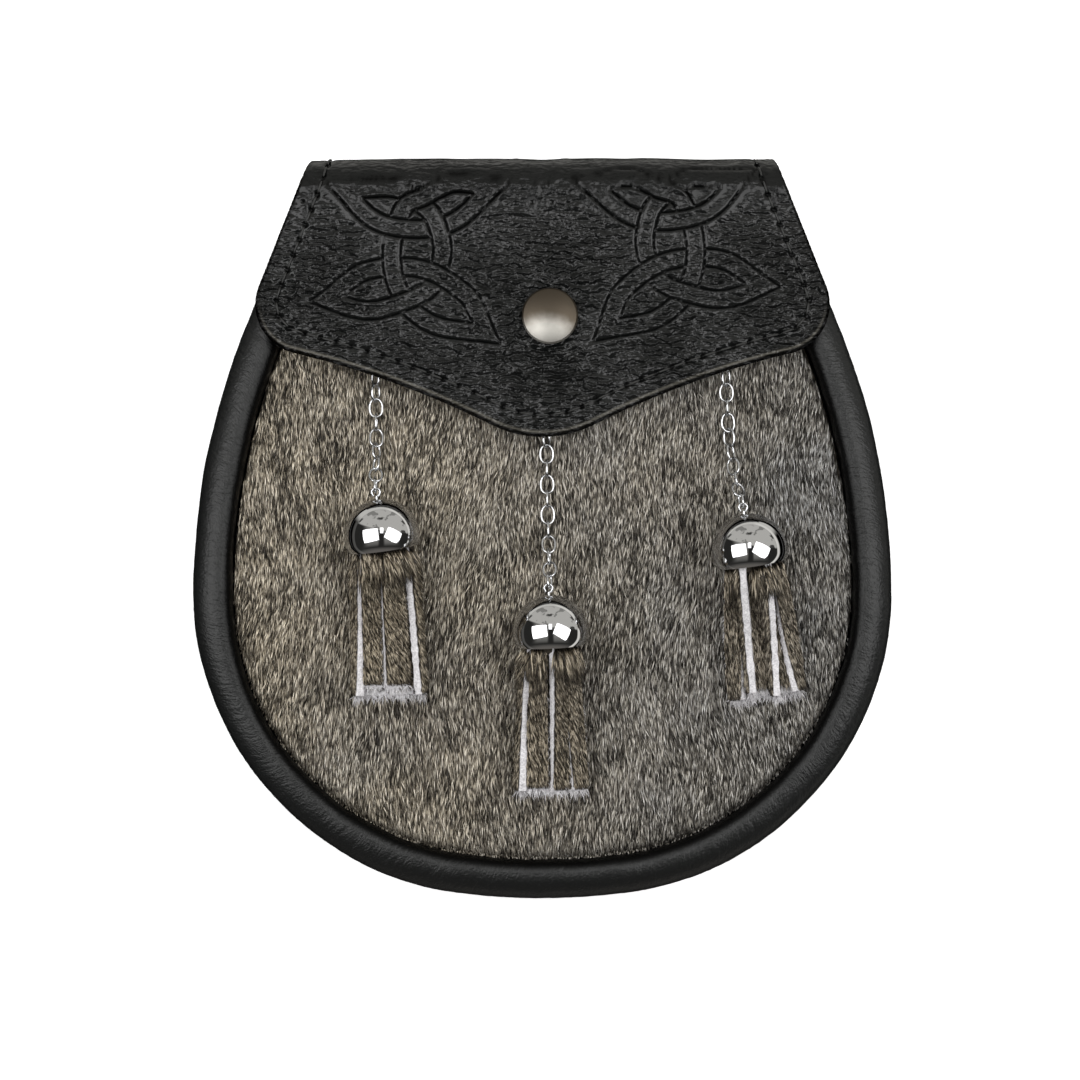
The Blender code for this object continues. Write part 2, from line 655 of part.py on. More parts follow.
def chain_route(chain, tassel):
    """Dense points of the chain from its cap's eye upwards: on the fur, then climbing to the eye."""
    middle, turn = cap_frame(tassel)
    eye_top = CAP_RADIUS + GAP + EYE_WIRE / 2 + 2 * EYE_RADIUS
    start = np.array(middle + turn.to_3x3() @ Vector((0, eye_top, 0)))
    knots = np.array([start[:2], *chain["route"]])
    knots = np.vstack([2 * knots[0] - knots[1], knots, 2 * knots[-1] - knots[-2]])
    flat = []
    for i in range(1, len(knots) - 2):
        a, b, c, d = knots[i - 1 : i + 3]
        for s in np.linspace(0, 1, 40, endpoint=False):
            curve = 2 * b + (c - a) * s + (2 * a - 5 * b + 4 * c - d) * s**2 + (3 * b - a - 3 * c + d) * s**3
            flat.append(curve / 2)
    flat = np.array(flat)
    run = np.concatenate([[0], np.cumsum(np.linalg.norm(np.diff(flat, axis=0), axis=1))])
    drop = start[2] - fur_top(*start[:2]) - CHAIN_LIFT
    climb = drop * np.clip(1 - run / CHAIN_CLIMB, 0, 1) ** 2
    heights = [fur_top(x, y) + CHAIN_LIFT + rise for (x, y), rise in zip(flat, climb)]
    return np.column_stack([flat, heights])


def along_route(route, distance):
    """Point and direction of the route at this distance from its start."""
    run = np.concatenate([[0], np.cumsum(np.linalg.norm(np.diff(route, axis=0), axis=1))])
    here = np.array([np.interp(distance, run, route[:, k]) for k in range(3)])
    ahead = np.array([np.interp(distance + 0.5, run, route[:, k]) for k in range(3)])
    behind = np.array([np.interp(distance - 0.5, run, route[:, k]) for k in range(3)])
    direction = ahead - behind
    return here, direction / np.linalg.norm(direction)


def chain_frame(route, distance, turn):
    """Place and turn of a link: its Y axis along the route, its flat face turned from the fur by turn."""
    here, along = along_route(route, distance)
    side = np.cross(along, (0, 0, 1))
    side /= np.linalg.norm(side)
    up = np.cross(side, along)
    frame = Matrix((side, along, up)).transposed().to_4x4()
    return Matrix.Translation(Vector(here) * MM) @ frame @ Matrix.Rotation(math.radians(turn), 4, "Y")


def staple_mesh(lift):
    """Wire staple: a bar across the chain with two legs that stop just above the fur."""
    half, corner = 1.5, 0.7
    low = -lift + GAP
    path = [(-half, 0.0, low), (-half, 0.0, -corner)]
    for angle in (math.radians(135), math.radians(45)):
        centre = math.copysign(half - corner, math.cos(angle))
        path.append((centre + corner * math.cos(angle), 0.0, -corner + corner * math.sin(angle)))
    path += [(half, 0.0, -corner), (half, 0.0, low)]
    return wire_mesh("chain_staple", path, EYE_WIRE)


def chains():
    link = link_mesh()
    staple = staple_mesh(CHAIN_LIFT)
    reach = LINK_LENGTH / 2 - LINK_WIRE - EYE_WIRE / 2 - GAP / 2
    for side, chain in CHAINS.items():
        route = chain_route(chain, TASSELS[side])
        count = len(chain["turns"])
        for i, turn in enumerate(chain["turns"]):
            # Links are counted from the flap down, and placed from the cap up.
            obj = new_object(f"chain_{side}_{count - i:02d}", link, STEEL, 0.15, 1.0)
            obj.matrix_basis = chain_frame(route, reach + i * LINK_PITCH, turn)
        obj = new_object("staple_" + side, staple, STEEL, 0.3, 1.0)
        obj.matrix_basis = chain_frame(route, 2 * reach + (count - 1) * LINK_PITCH, 0)


def main():
    for obj in list(bpy.data.objects):
        bpy.data.objects.remove(obj, do_unlink=True)
    bpy.context.scene.collection.objects.link(bpy.data.objects.new("sporran", None))
    back_panel()
    gusset()
    rim()
    fur_panel()
    flap()
    belt_loops()
    press_stud()
    tassels()
    chains()


main()
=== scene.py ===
"""Looks of a semi-dress sporran pouch that lies on its back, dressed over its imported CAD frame.

+Z is the front of the pouch, +Y points to the fold of its flap and +X to the right of someone who
looks at the front. Sizes are in millimetres until a mesh is made. Each sub-assembly is a class with
its sizes as fields; its shapes are numpy surfaces on grids, profiles carried along paths, or copies
of one small shape.
"""

import json
import logging
import math
from collections.abc import Callable, Sequence
from dataclasses import dataclass, field
from enum import Enum
from functools import partial

import bpy
import numpy as np
from numpy.typing import NDArray
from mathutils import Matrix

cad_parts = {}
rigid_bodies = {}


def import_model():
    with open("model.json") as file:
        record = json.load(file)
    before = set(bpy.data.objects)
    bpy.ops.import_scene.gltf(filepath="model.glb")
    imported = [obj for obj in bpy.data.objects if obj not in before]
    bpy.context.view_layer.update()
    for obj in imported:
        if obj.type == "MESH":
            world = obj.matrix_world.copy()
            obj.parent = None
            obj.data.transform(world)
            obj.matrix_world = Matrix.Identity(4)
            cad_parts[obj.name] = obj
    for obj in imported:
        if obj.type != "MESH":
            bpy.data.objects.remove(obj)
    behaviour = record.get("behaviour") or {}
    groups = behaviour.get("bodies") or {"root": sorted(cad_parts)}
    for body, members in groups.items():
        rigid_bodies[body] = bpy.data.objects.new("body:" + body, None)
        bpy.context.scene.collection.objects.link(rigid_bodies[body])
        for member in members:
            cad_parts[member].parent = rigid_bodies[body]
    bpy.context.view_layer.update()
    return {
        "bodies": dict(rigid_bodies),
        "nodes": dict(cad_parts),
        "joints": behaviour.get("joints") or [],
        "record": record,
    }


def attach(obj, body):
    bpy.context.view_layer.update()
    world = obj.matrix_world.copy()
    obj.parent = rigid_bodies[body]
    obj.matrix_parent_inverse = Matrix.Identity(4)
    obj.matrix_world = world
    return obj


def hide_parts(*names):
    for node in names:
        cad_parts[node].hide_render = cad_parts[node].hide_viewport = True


Array = NDArray[np.float64]
Inputs = dict[str | int, object]
Adder = Callable[..., bpy.types.Node]

LOG = logging.getLogger("sporran")
MM = 0.001
GAP = 0.3
BODY = "root"
SOFTLY = {"interpolation_type": "SMOOTHSTEP"}


# ---------------------------------------------------------------- numbers and patterns


def smooth_step(value: Array | float) -> Array:
    """0 below 0, 1 above 1 and the S-curve 3v^2 - 2v^3 between."""
    value = np.clip(value, 0.0, 1.0)
    return value * value * (3.0 - 2.0 * value)


def unit(vectors: Array) -> Array:
    """The vectors divided by their lengths."""
    return vectors / np.maximum(np.linalg.norm(vectors, axis=-1, keepdims=True), 1e-12)


def ridge(distance: Array, half: float, at: float = 0.0) -> Array:
    """A bell-shaped ridge of height 1 along a line: exp(-((distance - at) / half)^2)."""
    return np.exp(-(((distance - at) / half) ** 2))


def superellipse(turns: Array, squareness: float) -> tuple[Array, Array]:
    """Unit superellipse: cosine and sine to the power 2 / squareness, each with its own sign."""
    waves, power = (np.cos(turns), np.sin(turns)), 2 / squareness
    across, up = (np.sign(wave) * np.abs(wave) ** power for wave in waves)
    return across, up


def running_length(points: Array) -> Array:
    """Distance along a polyline at each of its points: the running sum of its steps."""
    return np.concatenate([[0.0], np.cumsum(np.linalg.norm(np.diff(points, axis=0), axis=1))])


def resampled(points: Array, shares: Array) -> Array:
    """Points of a polyline at given shares of its length.

    Formula: each coordinate is interpolated over the running length at share times the whole
    length.

    Args:
        points: the polyline, one point a row.
        shares: places along it, from 0 to 1.

    Returns:
        One point for each share.
    """
    run = running_length(points)
    return np.stack([np.interp(shares * run[-1], run, column) for column in points.T], axis=1)


def edged_shares(length: float, pitch: float, both_ends: bool, divisor: int = 4) -> Array:
    """Shares along a length with four close steps at an edge and even steps elsewhere.

    Formula: the edge steps reach 0.12, 0.3, 0.55 and 0.9 mm in; the rest is cut evenly, about a
    pitch each.

    Args:
        length: the whole length.
        pitch: the even step that is wanted.
        both_ends: whether the far end is an edge too.
        divisor: the number of even steps is a multiple of this.

    Returns:
        Rising shares from 0 to 1.
    """
    near = np.array([0.0, 0.12, 0.3, 0.55, 0.9])
    far = (length - near[::-1]) if both_ends else np.array([length])
    steps = divisor * math.ceil((far[0] - near[-1]) / pitch / divisor)
    even = np.linspace(near[-1], far[0], steps + 1)
    return np.concatenate([near[:-1], even, far[1:]]) / length


def lattice_random(i: Array, j: Array, seed: float) -> Array:
    """A repeatable number from 0 to 1 for each pair of whole numbers: a large sine's fraction."""
    value = np.sin(i * 127.1 + j * 311.7 + seed * 74.7) * 43758.5453
    return value - np.floor(value)


def smooth_noise(x: Array, y: Array, size: float, seed: float = 0.0) -> Array:
    """Soft noise from -1 to 1.

    Formula: random numbers at the corners of square cells, blended across each cell with smooth
    steps.

    Args:
        x: first coordinate.
        y: second coordinate.
        size: width of a cell, in the coordinates' unit.
        seed: picks another pattern.

    Returns:
        The noise at each point.
    """
    u, v = np.asarray(x) / size, np.asarray(y) / size
    i, j = np.floor(u), np.floor(v)
    a, b = smooth_step(u - i), smooth_step(v - j)
    low = lattice_random(i, j, seed) * (1 - a) + lattice_random(i + 1, j, seed) * a
    high = lattice_random(i, j + 1, seed) * (1 - a) + lattice_random(i + 1, j + 1, seed) * a
    return 2 * (low * (1 - b) + high * b) - 1


def nearest(points: Array, samples: Array) -> tuple[Array, NDArray[np.int64]]:
    """Distance from each point to its nearest sample, and which sample that is.

    Formula: the least of all straight distances, worked out for a block of points at a time.

    Args:
        points: where the distance is wanted, one point a row.
        samples: the points measured to.

    Returns:
        Distances, and indices into samples.
    """
    distances, indices = [], []
    for block in np.array_split(points.astype(np.float32), max(1, len(points) // 3000)):
        square = np.zeros((len(block), len(samples)), np.float32)
        for k in range(points.shape[1]):
            square += (block[:, None, k] - samples[None, :, k].astype(np.float32)) ** 2
        index = square.argmin(axis=1)
        indices.append(index)
        distances.append(np.sqrt(square[np.arange(len(block)), index]))
    return np.concatenate(distances).astype(np.float64), np.concatenate(indices)


def spline(knots: Array, steps: int) -> Array:
    """Smooth curve through points.

    Formula: a Catmull-Rom cubic between each two points, with the ends carried on in a straight
    line.

    Args:
        knots: the points, one a row.
        steps: samples between two points.

    Returns:
        The curve's points, with the last knot.
    """
    padded = np.vstack([2 * knots[0] - knots[1], knots, 2 * knots[-1] - knots[-2]])
    a, b, c, d = (padded[k : len(padded) - 3 + k, None] for k in range(4))
    s = np.linspace(0, 1, steps, endpoint=False)[None, :, None]
    cubic = 2 * b + (c - a) * s + (2 * a - 5 * b + 4 * c - d) * s**2
    cubic = cubic + (3 * b - a - 3 * c + d) * s**3
    return np.vstack([(cubic / 2).reshape(-1, knots.shape[1]), knots[-1]])


# ---------------------------------------------------------------- shapes


@dataclass
class Shape:
    """Points in millimetres and the faces between them, before they become a mesh.

    faces holds index arrays of three or four columns, uv an array of pairs for each of them (corner
    by corner), and values one number for each point, by name.
    """

    points: Array
    faces: list[NDArray[np.int64]]
    uv: list[Array] | None = None
    values: dict[str, Array] = field(default_factory=dict)

    def volume(self) -> float:
        """Signed volume: a sixth of the sum of the triple products of all face triangles."""
        total = 0.0
        for face in self.faces:
            corners = self.points[face]
            for k in range(1, face.shape[1] - 1):
                total += float(np.sum(corners[:, 0] * np.cross(corners[:, k], corners[:, k + 1])))
        return total / 6

    def outward(self) -> "Shape":
        """This closed shape with its faces turned outwards, so that its volume is positive."""
        if self.volume() < 0:
            self.faces = [face[:, ::-1] for face in self.faces]
            if self.uv is not None:
                self.uv = [pairs[:, ::-1] for pairs in self.uv]
        return self

    def place(
        self,
        name: str,
        material: bpy.types.Material,
        slot: str,
        nodes: Sequence[str] = (),
        sharp: float | None = None,
    ) -> bpy.types.Object:
        """Makes the mesh and puts it on the frame.

        Args:
            name: the piece's name.
            material: its finish.
            slot: the record's material slot; not used.
            nodes: the CAD nodes that it stands for.
            sharp: angle in degrees above which an edge is shaded sharp; none is if left out.

        Returns:
            The object, at the origin and riding on the frame.
        """
        mesh = bpy.data.meshes.new(name)
        mesh.vertices.add(len(self.points))
        mesh.vertices.foreach_set("co", (self.points * MM).astype(np.float32).ravel())
        corners = np.concatenate([face.ravel() for face in self.faces]).astype(np.int32)
        sizes = np.concatenate([np.full(len(face), face.shape[1]) for face in self.faces])
        mesh.loops.add(len(corners))
        mesh.loops.foreach_set("vertex_index", corners)
        mesh.polygons.add(len(sizes))
        mesh.polygons.foreach_set("loop_start", (np.cumsum(sizes) - sizes).astype(np.int32))
        mesh.update(calc_edges=True)
        mesh.validate()
        if self.uv is not None:
            layer = mesh.uv_layers.new(name="UVMap")
            pairs = np.concatenate([pair.reshape(-1, 2) for pair in self.uv])
            layer.data.foreach_set("uv", pairs.astype(np.float32).ravel())
        for key, numbers in self.values.items():
            layer = mesh.attributes.new(key, "FLOAT", "POINT")
            layer.data.foreach_set("value", numbers.astype(np.float32))
        mesh.shade_smooth()
        if sharp is not None:
            mesh.set_sharp_from_angle(angle=math.radians(sharp))
        mesh.materials.append(material)
        obj = bpy.data.objects.new(name, mesh)
        bpy.context.scene.collection.objects.link(obj)
        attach(obj, BODY)
        if nodes:
            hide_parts(*nodes)
        triangles = sum(len(face) * (face.shape[1] - 2) for face in self.faces)
        LOG.info("%s: %d points, %d triangles", name, len(self.points), triangles)
        return obj


def joined(shapes: Sequence[Shape]) -> Shape:
    """One shape of several, each closed in itself; a value that a shape lacks is 0 on it."""
    offsets = np.cumsum([0] + [len(shape.points) for shape in shapes[:-1]])
    keys = {key for shape in shapes for key in shape.values}
    return Shape(
        np.vstack([shape.points for shape in shapes]),
        [face + offset for shape, offset in zip(shapes, offsets) for face in shape.faces],
        None if shapes[0].uv is None else [pairs for shape in shapes for pairs in shape.uv or []],
        {
            key: np.concatenate([s.values.get(key, np.zeros(len(s.points))) for s in shapes])
            for key in sorted(keys)
        },
    )


def quads(
    rows: int, columns: int, wrap_rows: bool = False, wrap_columns: bool = False
) -> NDArray[np.int64]:
    """Faces of a grid of points that is counted along its rows.

    Args:
        rows: number of rows of points.
        columns: number of points in a row.
        wrap_rows: whether the last row joins the first.
        wrap_columns: whether each row is a closed ring.

    Returns:
        Four indices for each face, in the turn from columns to rows.
    """
    i = np.arange(rows if wrap_rows else rows - 1)[:, None]
    j = np.arange(columns if wrap_columns else columns - 1)[None, :]
    next_i, next_j = (i + 1) % rows, (j + 1) % columns
    here, after = i * columns, next_i * columns
    corners = [here + j, here + next_j, after + next_j, after + j]
    return np.stack([np.broadcast_to(c, (i.size, j.size)).ravel() for c in corners], axis=1)


def skin(rings: Array, closed: bool = False, ends: Array | None = None) -> Shape:
    """Closed skin through rings of points.

    Formula: neighbouring rings are joined by a grid of faces; an open row of rings ends in two
    fans.

    Args:
        rings: points as (ring, place in the ring, coordinate).
        closed: whether the last ring joins the first.
        ends: middles of the two end fans; the middles of the end rings where left out.

    Returns:
        The closed shape.
    """
    count, sides = rings.shape[:2]
    faces = [quads(count, sides, closed, True)]
    points = rings.reshape(-1, 3)
    if not closed:
        points = np.vstack([points, rings[[0, -1]].mean(axis=1) if ends is None else ends])
        ring = np.arange(sides)
        after, last = (ring + 1) % sides, (count - 1) * sides
        first_fan = np.column_stack([after, ring, np.full(sides, count * sides)])
        last_fan = np.column_stack([last + ring, last + after, np.full(sides, count * sides + 1)])
        faces.append(np.vstack([first_fan, last_fan]))
    return Shape(points, faces).outward()


def wire(
    path: Array, plane: Array, radius: Array | float, sides: int, closed: bool = False
) -> Shape:
    """Round wire along a flat path.

    Formula: at each point a circle in the plane of the path's sideways direction and the plane's
    normal.

    Args:
        path: the wire's middle line, one point a row.
        plane: unit normal of the plane that the path lies in.
        radius: the wire's radius, or one for each point.
        sides: number of points round the wire.
        closed: whether the path is a loop.

    Returns:
        The closed shape.
    """
    step = np.roll(path, -1, 0) - np.roll(path, 1, 0) if closed else np.gradient(path, axis=0)
    side = unit(np.cross(unit(step), plane))
    turns = 2 * np.pi * np.arange(sides) / sides
    circle = np.cos(turns)[None, :, None] * side[:, None] + np.sin(turns)[None, :, None] * plane
    reach = np.broadcast_to(np.asarray(radius, float), (len(path),))[:, None, None]
    return skin(path[:, None] + reach * circle, closed)


def turned(profile: Array, sides: int, closed: bool = False, ends: Array | None = None) -> Shape:
    """Solid turned about the Y axis.

    Formula: each (radius, height) of the profile is carried round as (r cos a, h, r sin a).

    Args:
        profile: (radius, height) pairs.
        sides: number of places round the axis.
        closed: whether the profile is a loop clear of the axis.
        ends: heights on the axis where an open profile starts and ends.

    Returns:
        The closed shape.
    """
    turns = 2 * np.pi * np.arange(sides) / sides
    radius, height = profile[:, 0, None], profile[:, 1, None]
    rings = np.stack([radius * np.cos(turns), height + 0 * turns, radius * np.sin(turns)], axis=2)
    tips = None if ends is None else np.array([(0.0, height, 0.0) for height in ends])
    return skin(rings, closed, tips)


def copies(shape: Shape, origins: Array, frames: Array) -> Shape:
    """Copies of a small shape, each with its own place and axes.

    Formula: point = origin + x axis0 + y axis1 + z axis2, for all copies at once.

    Args:
        shape: the small shape, about its own origin.
        origins: one place for each copy.
        frames: three axes (rows) for each copy.

    Returns:
        All copies as one shape.
    """
    points = origins[:, None] + np.einsum("pk,nkc->npc", shape.points, frames)
    offsets = len(shape.points) * np.arange(len(origins))[:, None, None]
    faces = [(face[None] + offsets).reshape(-1, face.shape[1]) for face in shape.faces]
    return Shape(points.reshape(-1, 3), faces)


def turned_to(shape: Shape, origin: Array, frame: Array) -> Shape:
    """The shape with its own axes laid on those of a frame (rows), about an origin."""
    return Shape(origin + shape.points @ frame, shape.faces, shape.uv, shape.values)


def rim_walk(rows: int, columns: int) -> NDArray[np.int64]:
    """Indices of a grid's border, counter-clockwise from its first corner."""
    index = np.arange(rows * columns).reshape(rows, columns)
    return np.concatenate([index[0], index[1:, -1], index[-1, -2::-1], index[-2:0:-1, 0]])


def slab(
    upper: Array, lower: Array, step: int = 1, values: dict[str, Array] | None = None
) -> Shape:
    """Closed slab between a fine upper grid and a lower grid with every step-th point.

    Formula: two grids of faces, and a wall in which each lower border point takes a fan of upper
    edges.

    Args:
        upper: upper points as (row, column, coordinate).
        lower: lower points; its rows and columns are those of the upper grid divided by step.
        step: how much coarser the lower grid is.
        values: numbers for each upper point, by name; the lower ones are 0.

    Returns:
        The closed shape.
    """
    rows, columns = upper.shape[:2]
    low_rows, low_columns = lower.shape[:2]
    base = rows * columns
    fine = rim_walk(rows, columns)
    coarse = rim_walk(low_rows, low_columns) + base
    i = np.arange(len(fine))
    k = (i + step // 2) // step % len(coarse)
    fans = np.column_stack([fine[(i + 1) % len(fine)], fine, coarse[k]])
    k = np.arange(len(coarse))
    fills = np.column_stack([fine[(k * step - step // 2) % len(fine)], coarse[k - 1], coarse[k]])
    faces = [
        quads(rows, columns),
        quads(low_rows, low_columns)[:, ::-1] + base,
        np.vstack([fans, fills]),
    ]
    points = np.vstack([upper.reshape(-1, 3), lower.reshape(-1, 3)])
    below = np.zeros(low_rows * low_columns)
    given = (values or {}).items()
    made = {key: np.concatenate([numbers.ravel(), below]) for key, numbers in given}
    return Shape(points, faces, None, made)


def sheet_normals(grid: Array) -> Array:
    """Unit normals of a grid: its two directions' cross product; corners copy a neighbour's."""
    normals = np.cross(np.gradient(grid, axis=1), np.gradient(grid, axis=0))
    for i in (0, -1):
        for j in (0, -1):
            normals[i, j] = normals[i + (1 if i == 0 else -1), j + (1 if j == 0 else -1)]
    return unit(normals)


def leather_sheet(
    grid: Array,
    thick: float,
    border: Array,
    relief: Array | float = 0.0,
    round_edge: float = 0.8,
    step: int = 4,
    values: dict[str, Array] | None = None,
) -> Shape:
    """Sheet of leather with rounded edges and a relief on its upper side.

    Formula: each side is the middle surface moved by half the thickness along its normal, less the
    drop r - sqrt(r^2 - (r - d)^2) where the distance d to the border is under the edge's radius r.

    Args:
        grid: middle surface as (row, column, coordinate).
        thick: the leather's thickness.
        border: distance of each grid point from the sheet's edge.
        relief: height added on the upper side.
        round_edge: radius of the rounded edge.
        step: how much coarser the underside is.
        values: numbers for each grid point, by name.

    Returns:
        The closed shape.
    """
    short = round_edge - np.clip(border, 0, round_edge)
    half = (thick / 2 - round_edge + np.sqrt(round_edge**2 - short**2))[..., None]
    normals = sheet_normals(grid)
    upper = grid + normals * (half + np.asarray(relief)[..., None])
    lower = (grid - normals * half)[::step, ::step]
    return slab(upper, lower, step, values)


def hairs(
    roots: Array, along: Array, up: Array, length: Array, width: Array, bow: Array, tint: Array
) -> Shape:
    """Hairs, each a slender blade of four triangles that bows away from the hide.

    Formula: a root and a tip are joined over two points where the hair is widest, a hair's width
    apart and moved up by the bow; below, two triangles from root to tip close the blade.

    Args:
        roots: where each hair starts.
        along: unit direction of each hair.
        up: unit direction away from the hide, square to along.
        length: length of each hair.
        width: width of each hair.
        bow: rise of each hair's middle.
        tint: a number from 0 to 1 for each hair, which its colour follows.

    Returns:
        All hairs as one shape, with tint and place along the hair as UV.
    """
    widest = 0.42
    side = unit(np.cross(along, up))
    middle = roots + along * (widest * length)[:, None] + up * bow[:, None]
    half = (width / 2)[:, None]
    tips = roots + along * length[:, None]
    points = np.stack([roots, middle - side * half, middle + side * half, tips], axis=1)
    pattern = np.array([(1, 2, 3), (2, 1, 0), (0, 1, 3), (0, 3, 2)])
    faces = pattern[None] + 4 * np.arange(len(roots))[:, None, None]
    place = np.array([0.0, widest, widest, 1.0])[pattern]
    uv = np.empty((len(roots), *pattern.shape, 2))
    uv[..., 0] = tint[:, None, None]
    uv[..., 1] = place[None]
    return Shape(points.reshape(-1, 3), [faces.reshape(-1, 3)], [uv.reshape(-1, 3, 2)])


def leaning(flow: Array, normal: Array, turn: Array, rise: Array) -> tuple[Array, Array]:
    """Hair directions on a hide.

    Formula: the flow is laid in the hide, turned about the normal by turn, then lifted by rise.

    Args:
        flow: the way the coat lies.
        normal: unit normal of the hide.
        turn: sideways turn of each hair, in radians.
        rise: angle of each hair above the hide, in radians.

    Returns:
        Unit direction of each hair, and the unit direction square to it, away from the hide.
    """
    flow = unit(flow - normal * np.sum(flow * normal, axis=1, keepdims=True))
    side = np.cross(normal, flow)
    laid = flow * np.cos(turn)[:, None] + side * np.sin(turn)[:, None]
    lifted, dropped = np.cos(rise)[:, None], np.sin(rise)[:, None]
    return laid * lifted + normal * dropped, normal * lifted - laid * dropped


# ---------------------------------------------------------------- materials


def linear(colour: str) -> tuple[float, float, float, float]:
    """Linear colour of sRGB hex: c / 12.92 up to 0.04045, else ((c + 0.055) / 1.055)^2.4."""
    parts = [int(colour[k : k + 2], 16) / 255 for k in (1, 3, 5)]
    red, green, blue = (c / 12.92 if c <= 0.04045 else ((c + 0.055) / 1.055) ** 2.4 for c in parts)
    return red, green, blue, 1.0


def feed(tree: bpy.types.NodeTree, node: bpy.types.Node, inputs: Inputs) -> None:
    """Sets or links the inputs of a node.

    Args:
        tree: the node tree.
        node: the node.
        inputs: for each input, by name or number, a value, a socket to link, or a node whose first
            live output is linked.
    """
    for key, value in inputs.items():
        if isinstance(value, bpy.types.Node):
            value = next(socket for socket in value.outputs if socket.enabled)
        if isinstance(value, bpy.types.NodeSocket):
            tree.links.new(value, node.inputs[key])
        else:
            node.inputs[key].default_value = value


def add_node(
    tree: bpy.types.NodeTree,
    kind: str,
    inputs: Inputs | None = None,
    stops: Sequence[tuple[float, str]] = (),
    **settings: object,
) -> bpy.types.Node:
    """Adds a shader node with its settings and links.

    Args:
        tree: the node tree.
        kind: the node's type, without its first word.
        inputs: what its inputs take, as for feed.
        stops: places and sRGB hex colours of a colour ramp.
        settings: the node's own properties.

    Returns:
        The node.
    """
    made = tree.nodes.new("ShaderNode" + kind)
    for key, value in settings.items():
        setattr(made, key, value)
    feed(tree, made, inputs or {})
    if stops:
        ramp = made.color_ramp.elements
        ramp.remove(ramp[1])
        ramp[0].position, ramp[0].color = stops[0][0], linear(stops[0][1])
        for place, colour in stops[1:]:
            ramp.new(place).color = linear(colour)
    return made


def cells(size: float) -> float:
    """How many cells of this size in millimetres fit in a metre: a pattern's scale."""
    return 1 / MM / size


def begin(name: str) -> tuple[bpy.types.Material, Adder, bpy.types.NodeSocket]:
    """New material of that name, what adds nodes to it, and Object coordinates."""
    material = bpy.data.materials.new(name)
    material.use_nodes = True
    add = partial(add_node, material.node_tree)
    return material, add, add("TexCoord").outputs["Object"]


def finish(material: bpy.types.Material, looks: Inputs) -> bpy.types.Material:
    """The material, once its Principled shader's inputs are set or linked as for feed."""
    tree = material.node_tree
    feed(tree, tree.nodes["Principled BSDF"], looks)
    return material


@dataclass(frozen=True)
class CrinkledCowhide:
    """Drum-dyed cowhide, milled until its grain crinkles and sprayed with a thin satin coat.

    The eye gets black leather with thin wavy lit lines that run mostly across and dark creases
    between them. Painted shade makes it near black in the tooled grooves, the needle holes, the
    seam channel and over the fold; its cut edge is black, partly edge paint and partly painted
    shadow, and a grey line beside the edge is a painted highlight.
    """

    body: str = "#101111"
    pressed: str = "#020202"
    # Colour of a painted highlight along the lip by the lower edge.
    lip: str = "#605d56"
    roughness: float = 0.22
    gloss: float = 0.36
    shade_and_edge_paint_gloss: float = 0.12
    crinkle_mm: tuple[float, float] = (3.1, 1.5)
    crinkle: float = 3.8
    grain_mm: tuple[float, float] = (1.6, 0.9)
    grain: float = 1.0
    wander_mm: float = 1.5
    wander_cell_mm: float = 4.0
    patch_mm: float = 18.0
    patch_least: float = 0.55
    calm_least: float = 0.15

    def layer(self, add: Adder, at: bpy.types.Node, size: tuple[float, float]) -> bpy.types.Node:
        """Noise whose cells are wider than they are tall."""
        wide, tall = (cells(length) for length in size)
        stretched = add("Mapping", {"Vector": at, "Scale": (wide, tall, tall)})
        return add("TexNoise", {"Vector": stretched, "Scale": 1.0, "Detail": 1.0})

    def material(self) -> bpy.types.Material:
        """The material, which reads the sheet's values pressed, calm and lip."""
        material, add, at = begin("crinkled cowhide")
        keys = ("pressed", "calm", "lip")
        values = (add("Attribute", attribute_name=key).outputs["Fac"] for key in keys)
        pressed, calm, lip = values
        wander = add("TexNoise", {"Vector": at, "Scale": cells(self.wander_cell_mm), "Detail": 2.0})
        by = (self.wander_mm * MM,) * 3
        shift = add("VectorMath", {0: wander.outputs["Color"], 1: by}, operation="MULTIPLY")
        bent = add("VectorMath", {0: at, 1: shift}, operation="ADD")
        grain = self.layer(add, bent, self.grain_mm)
        fine = add("Math", {0: grain, 1: self.grain}, operation="MULTIPLY")
        crinkles = {0: self.layer(add, bent, self.crinkle_mm), 1: self.crinkle, 2: fine}
        height = add("Math", crinkles, operation="MULTIPLY_ADD")
        patchy = add("TexNoise", {"Vector": at, "Scale": cells(self.patch_mm), "Detail": 2.0})
        patches = {"Value": patchy, "From Min": 0.36, "From Max": 0.56, "To Min": self.patch_least}
        strong = add("MapRange", patches)
        kept = add("MapRange", {"Value": calm, "To Min": 1.0, "To Max": self.calm_least})
        kept = add("Math", {0: kept, 1: strong}, operation="MULTIPLY")
        bump = add("Bump", {"Height": height, "Distance": MM, "Strength": kept})
        # Painted shade: the value pressed darkens grooves, holes, the seam channel and the fold to
        # near black; at the cut edge it is black edge paint together with painted shadow.
        deeper = {"Factor": pressed, "A": linear(self.body), "B": linear(self.pressed)}
        # Painted highlight: the value lip lightens a thin line by the lower edge to grey.
        painted_highlight = {"Factor": lip, "A": add("Mix", deeper, data_type="RGBA"), "B": linear(self.lip)}
        shine = {"Value": pressed, "To Min": self.gloss, "To Max": self.shade_and_edge_paint_gloss}
        looks = {"Base Color": add("Mix", painted_highlight, data_type="RGBA"), "Roughness": self.roughness}
        looks |= {"Normal": bump, "Specular IOR Level": add("MapRange", shine)}
        return finish(material, looks)


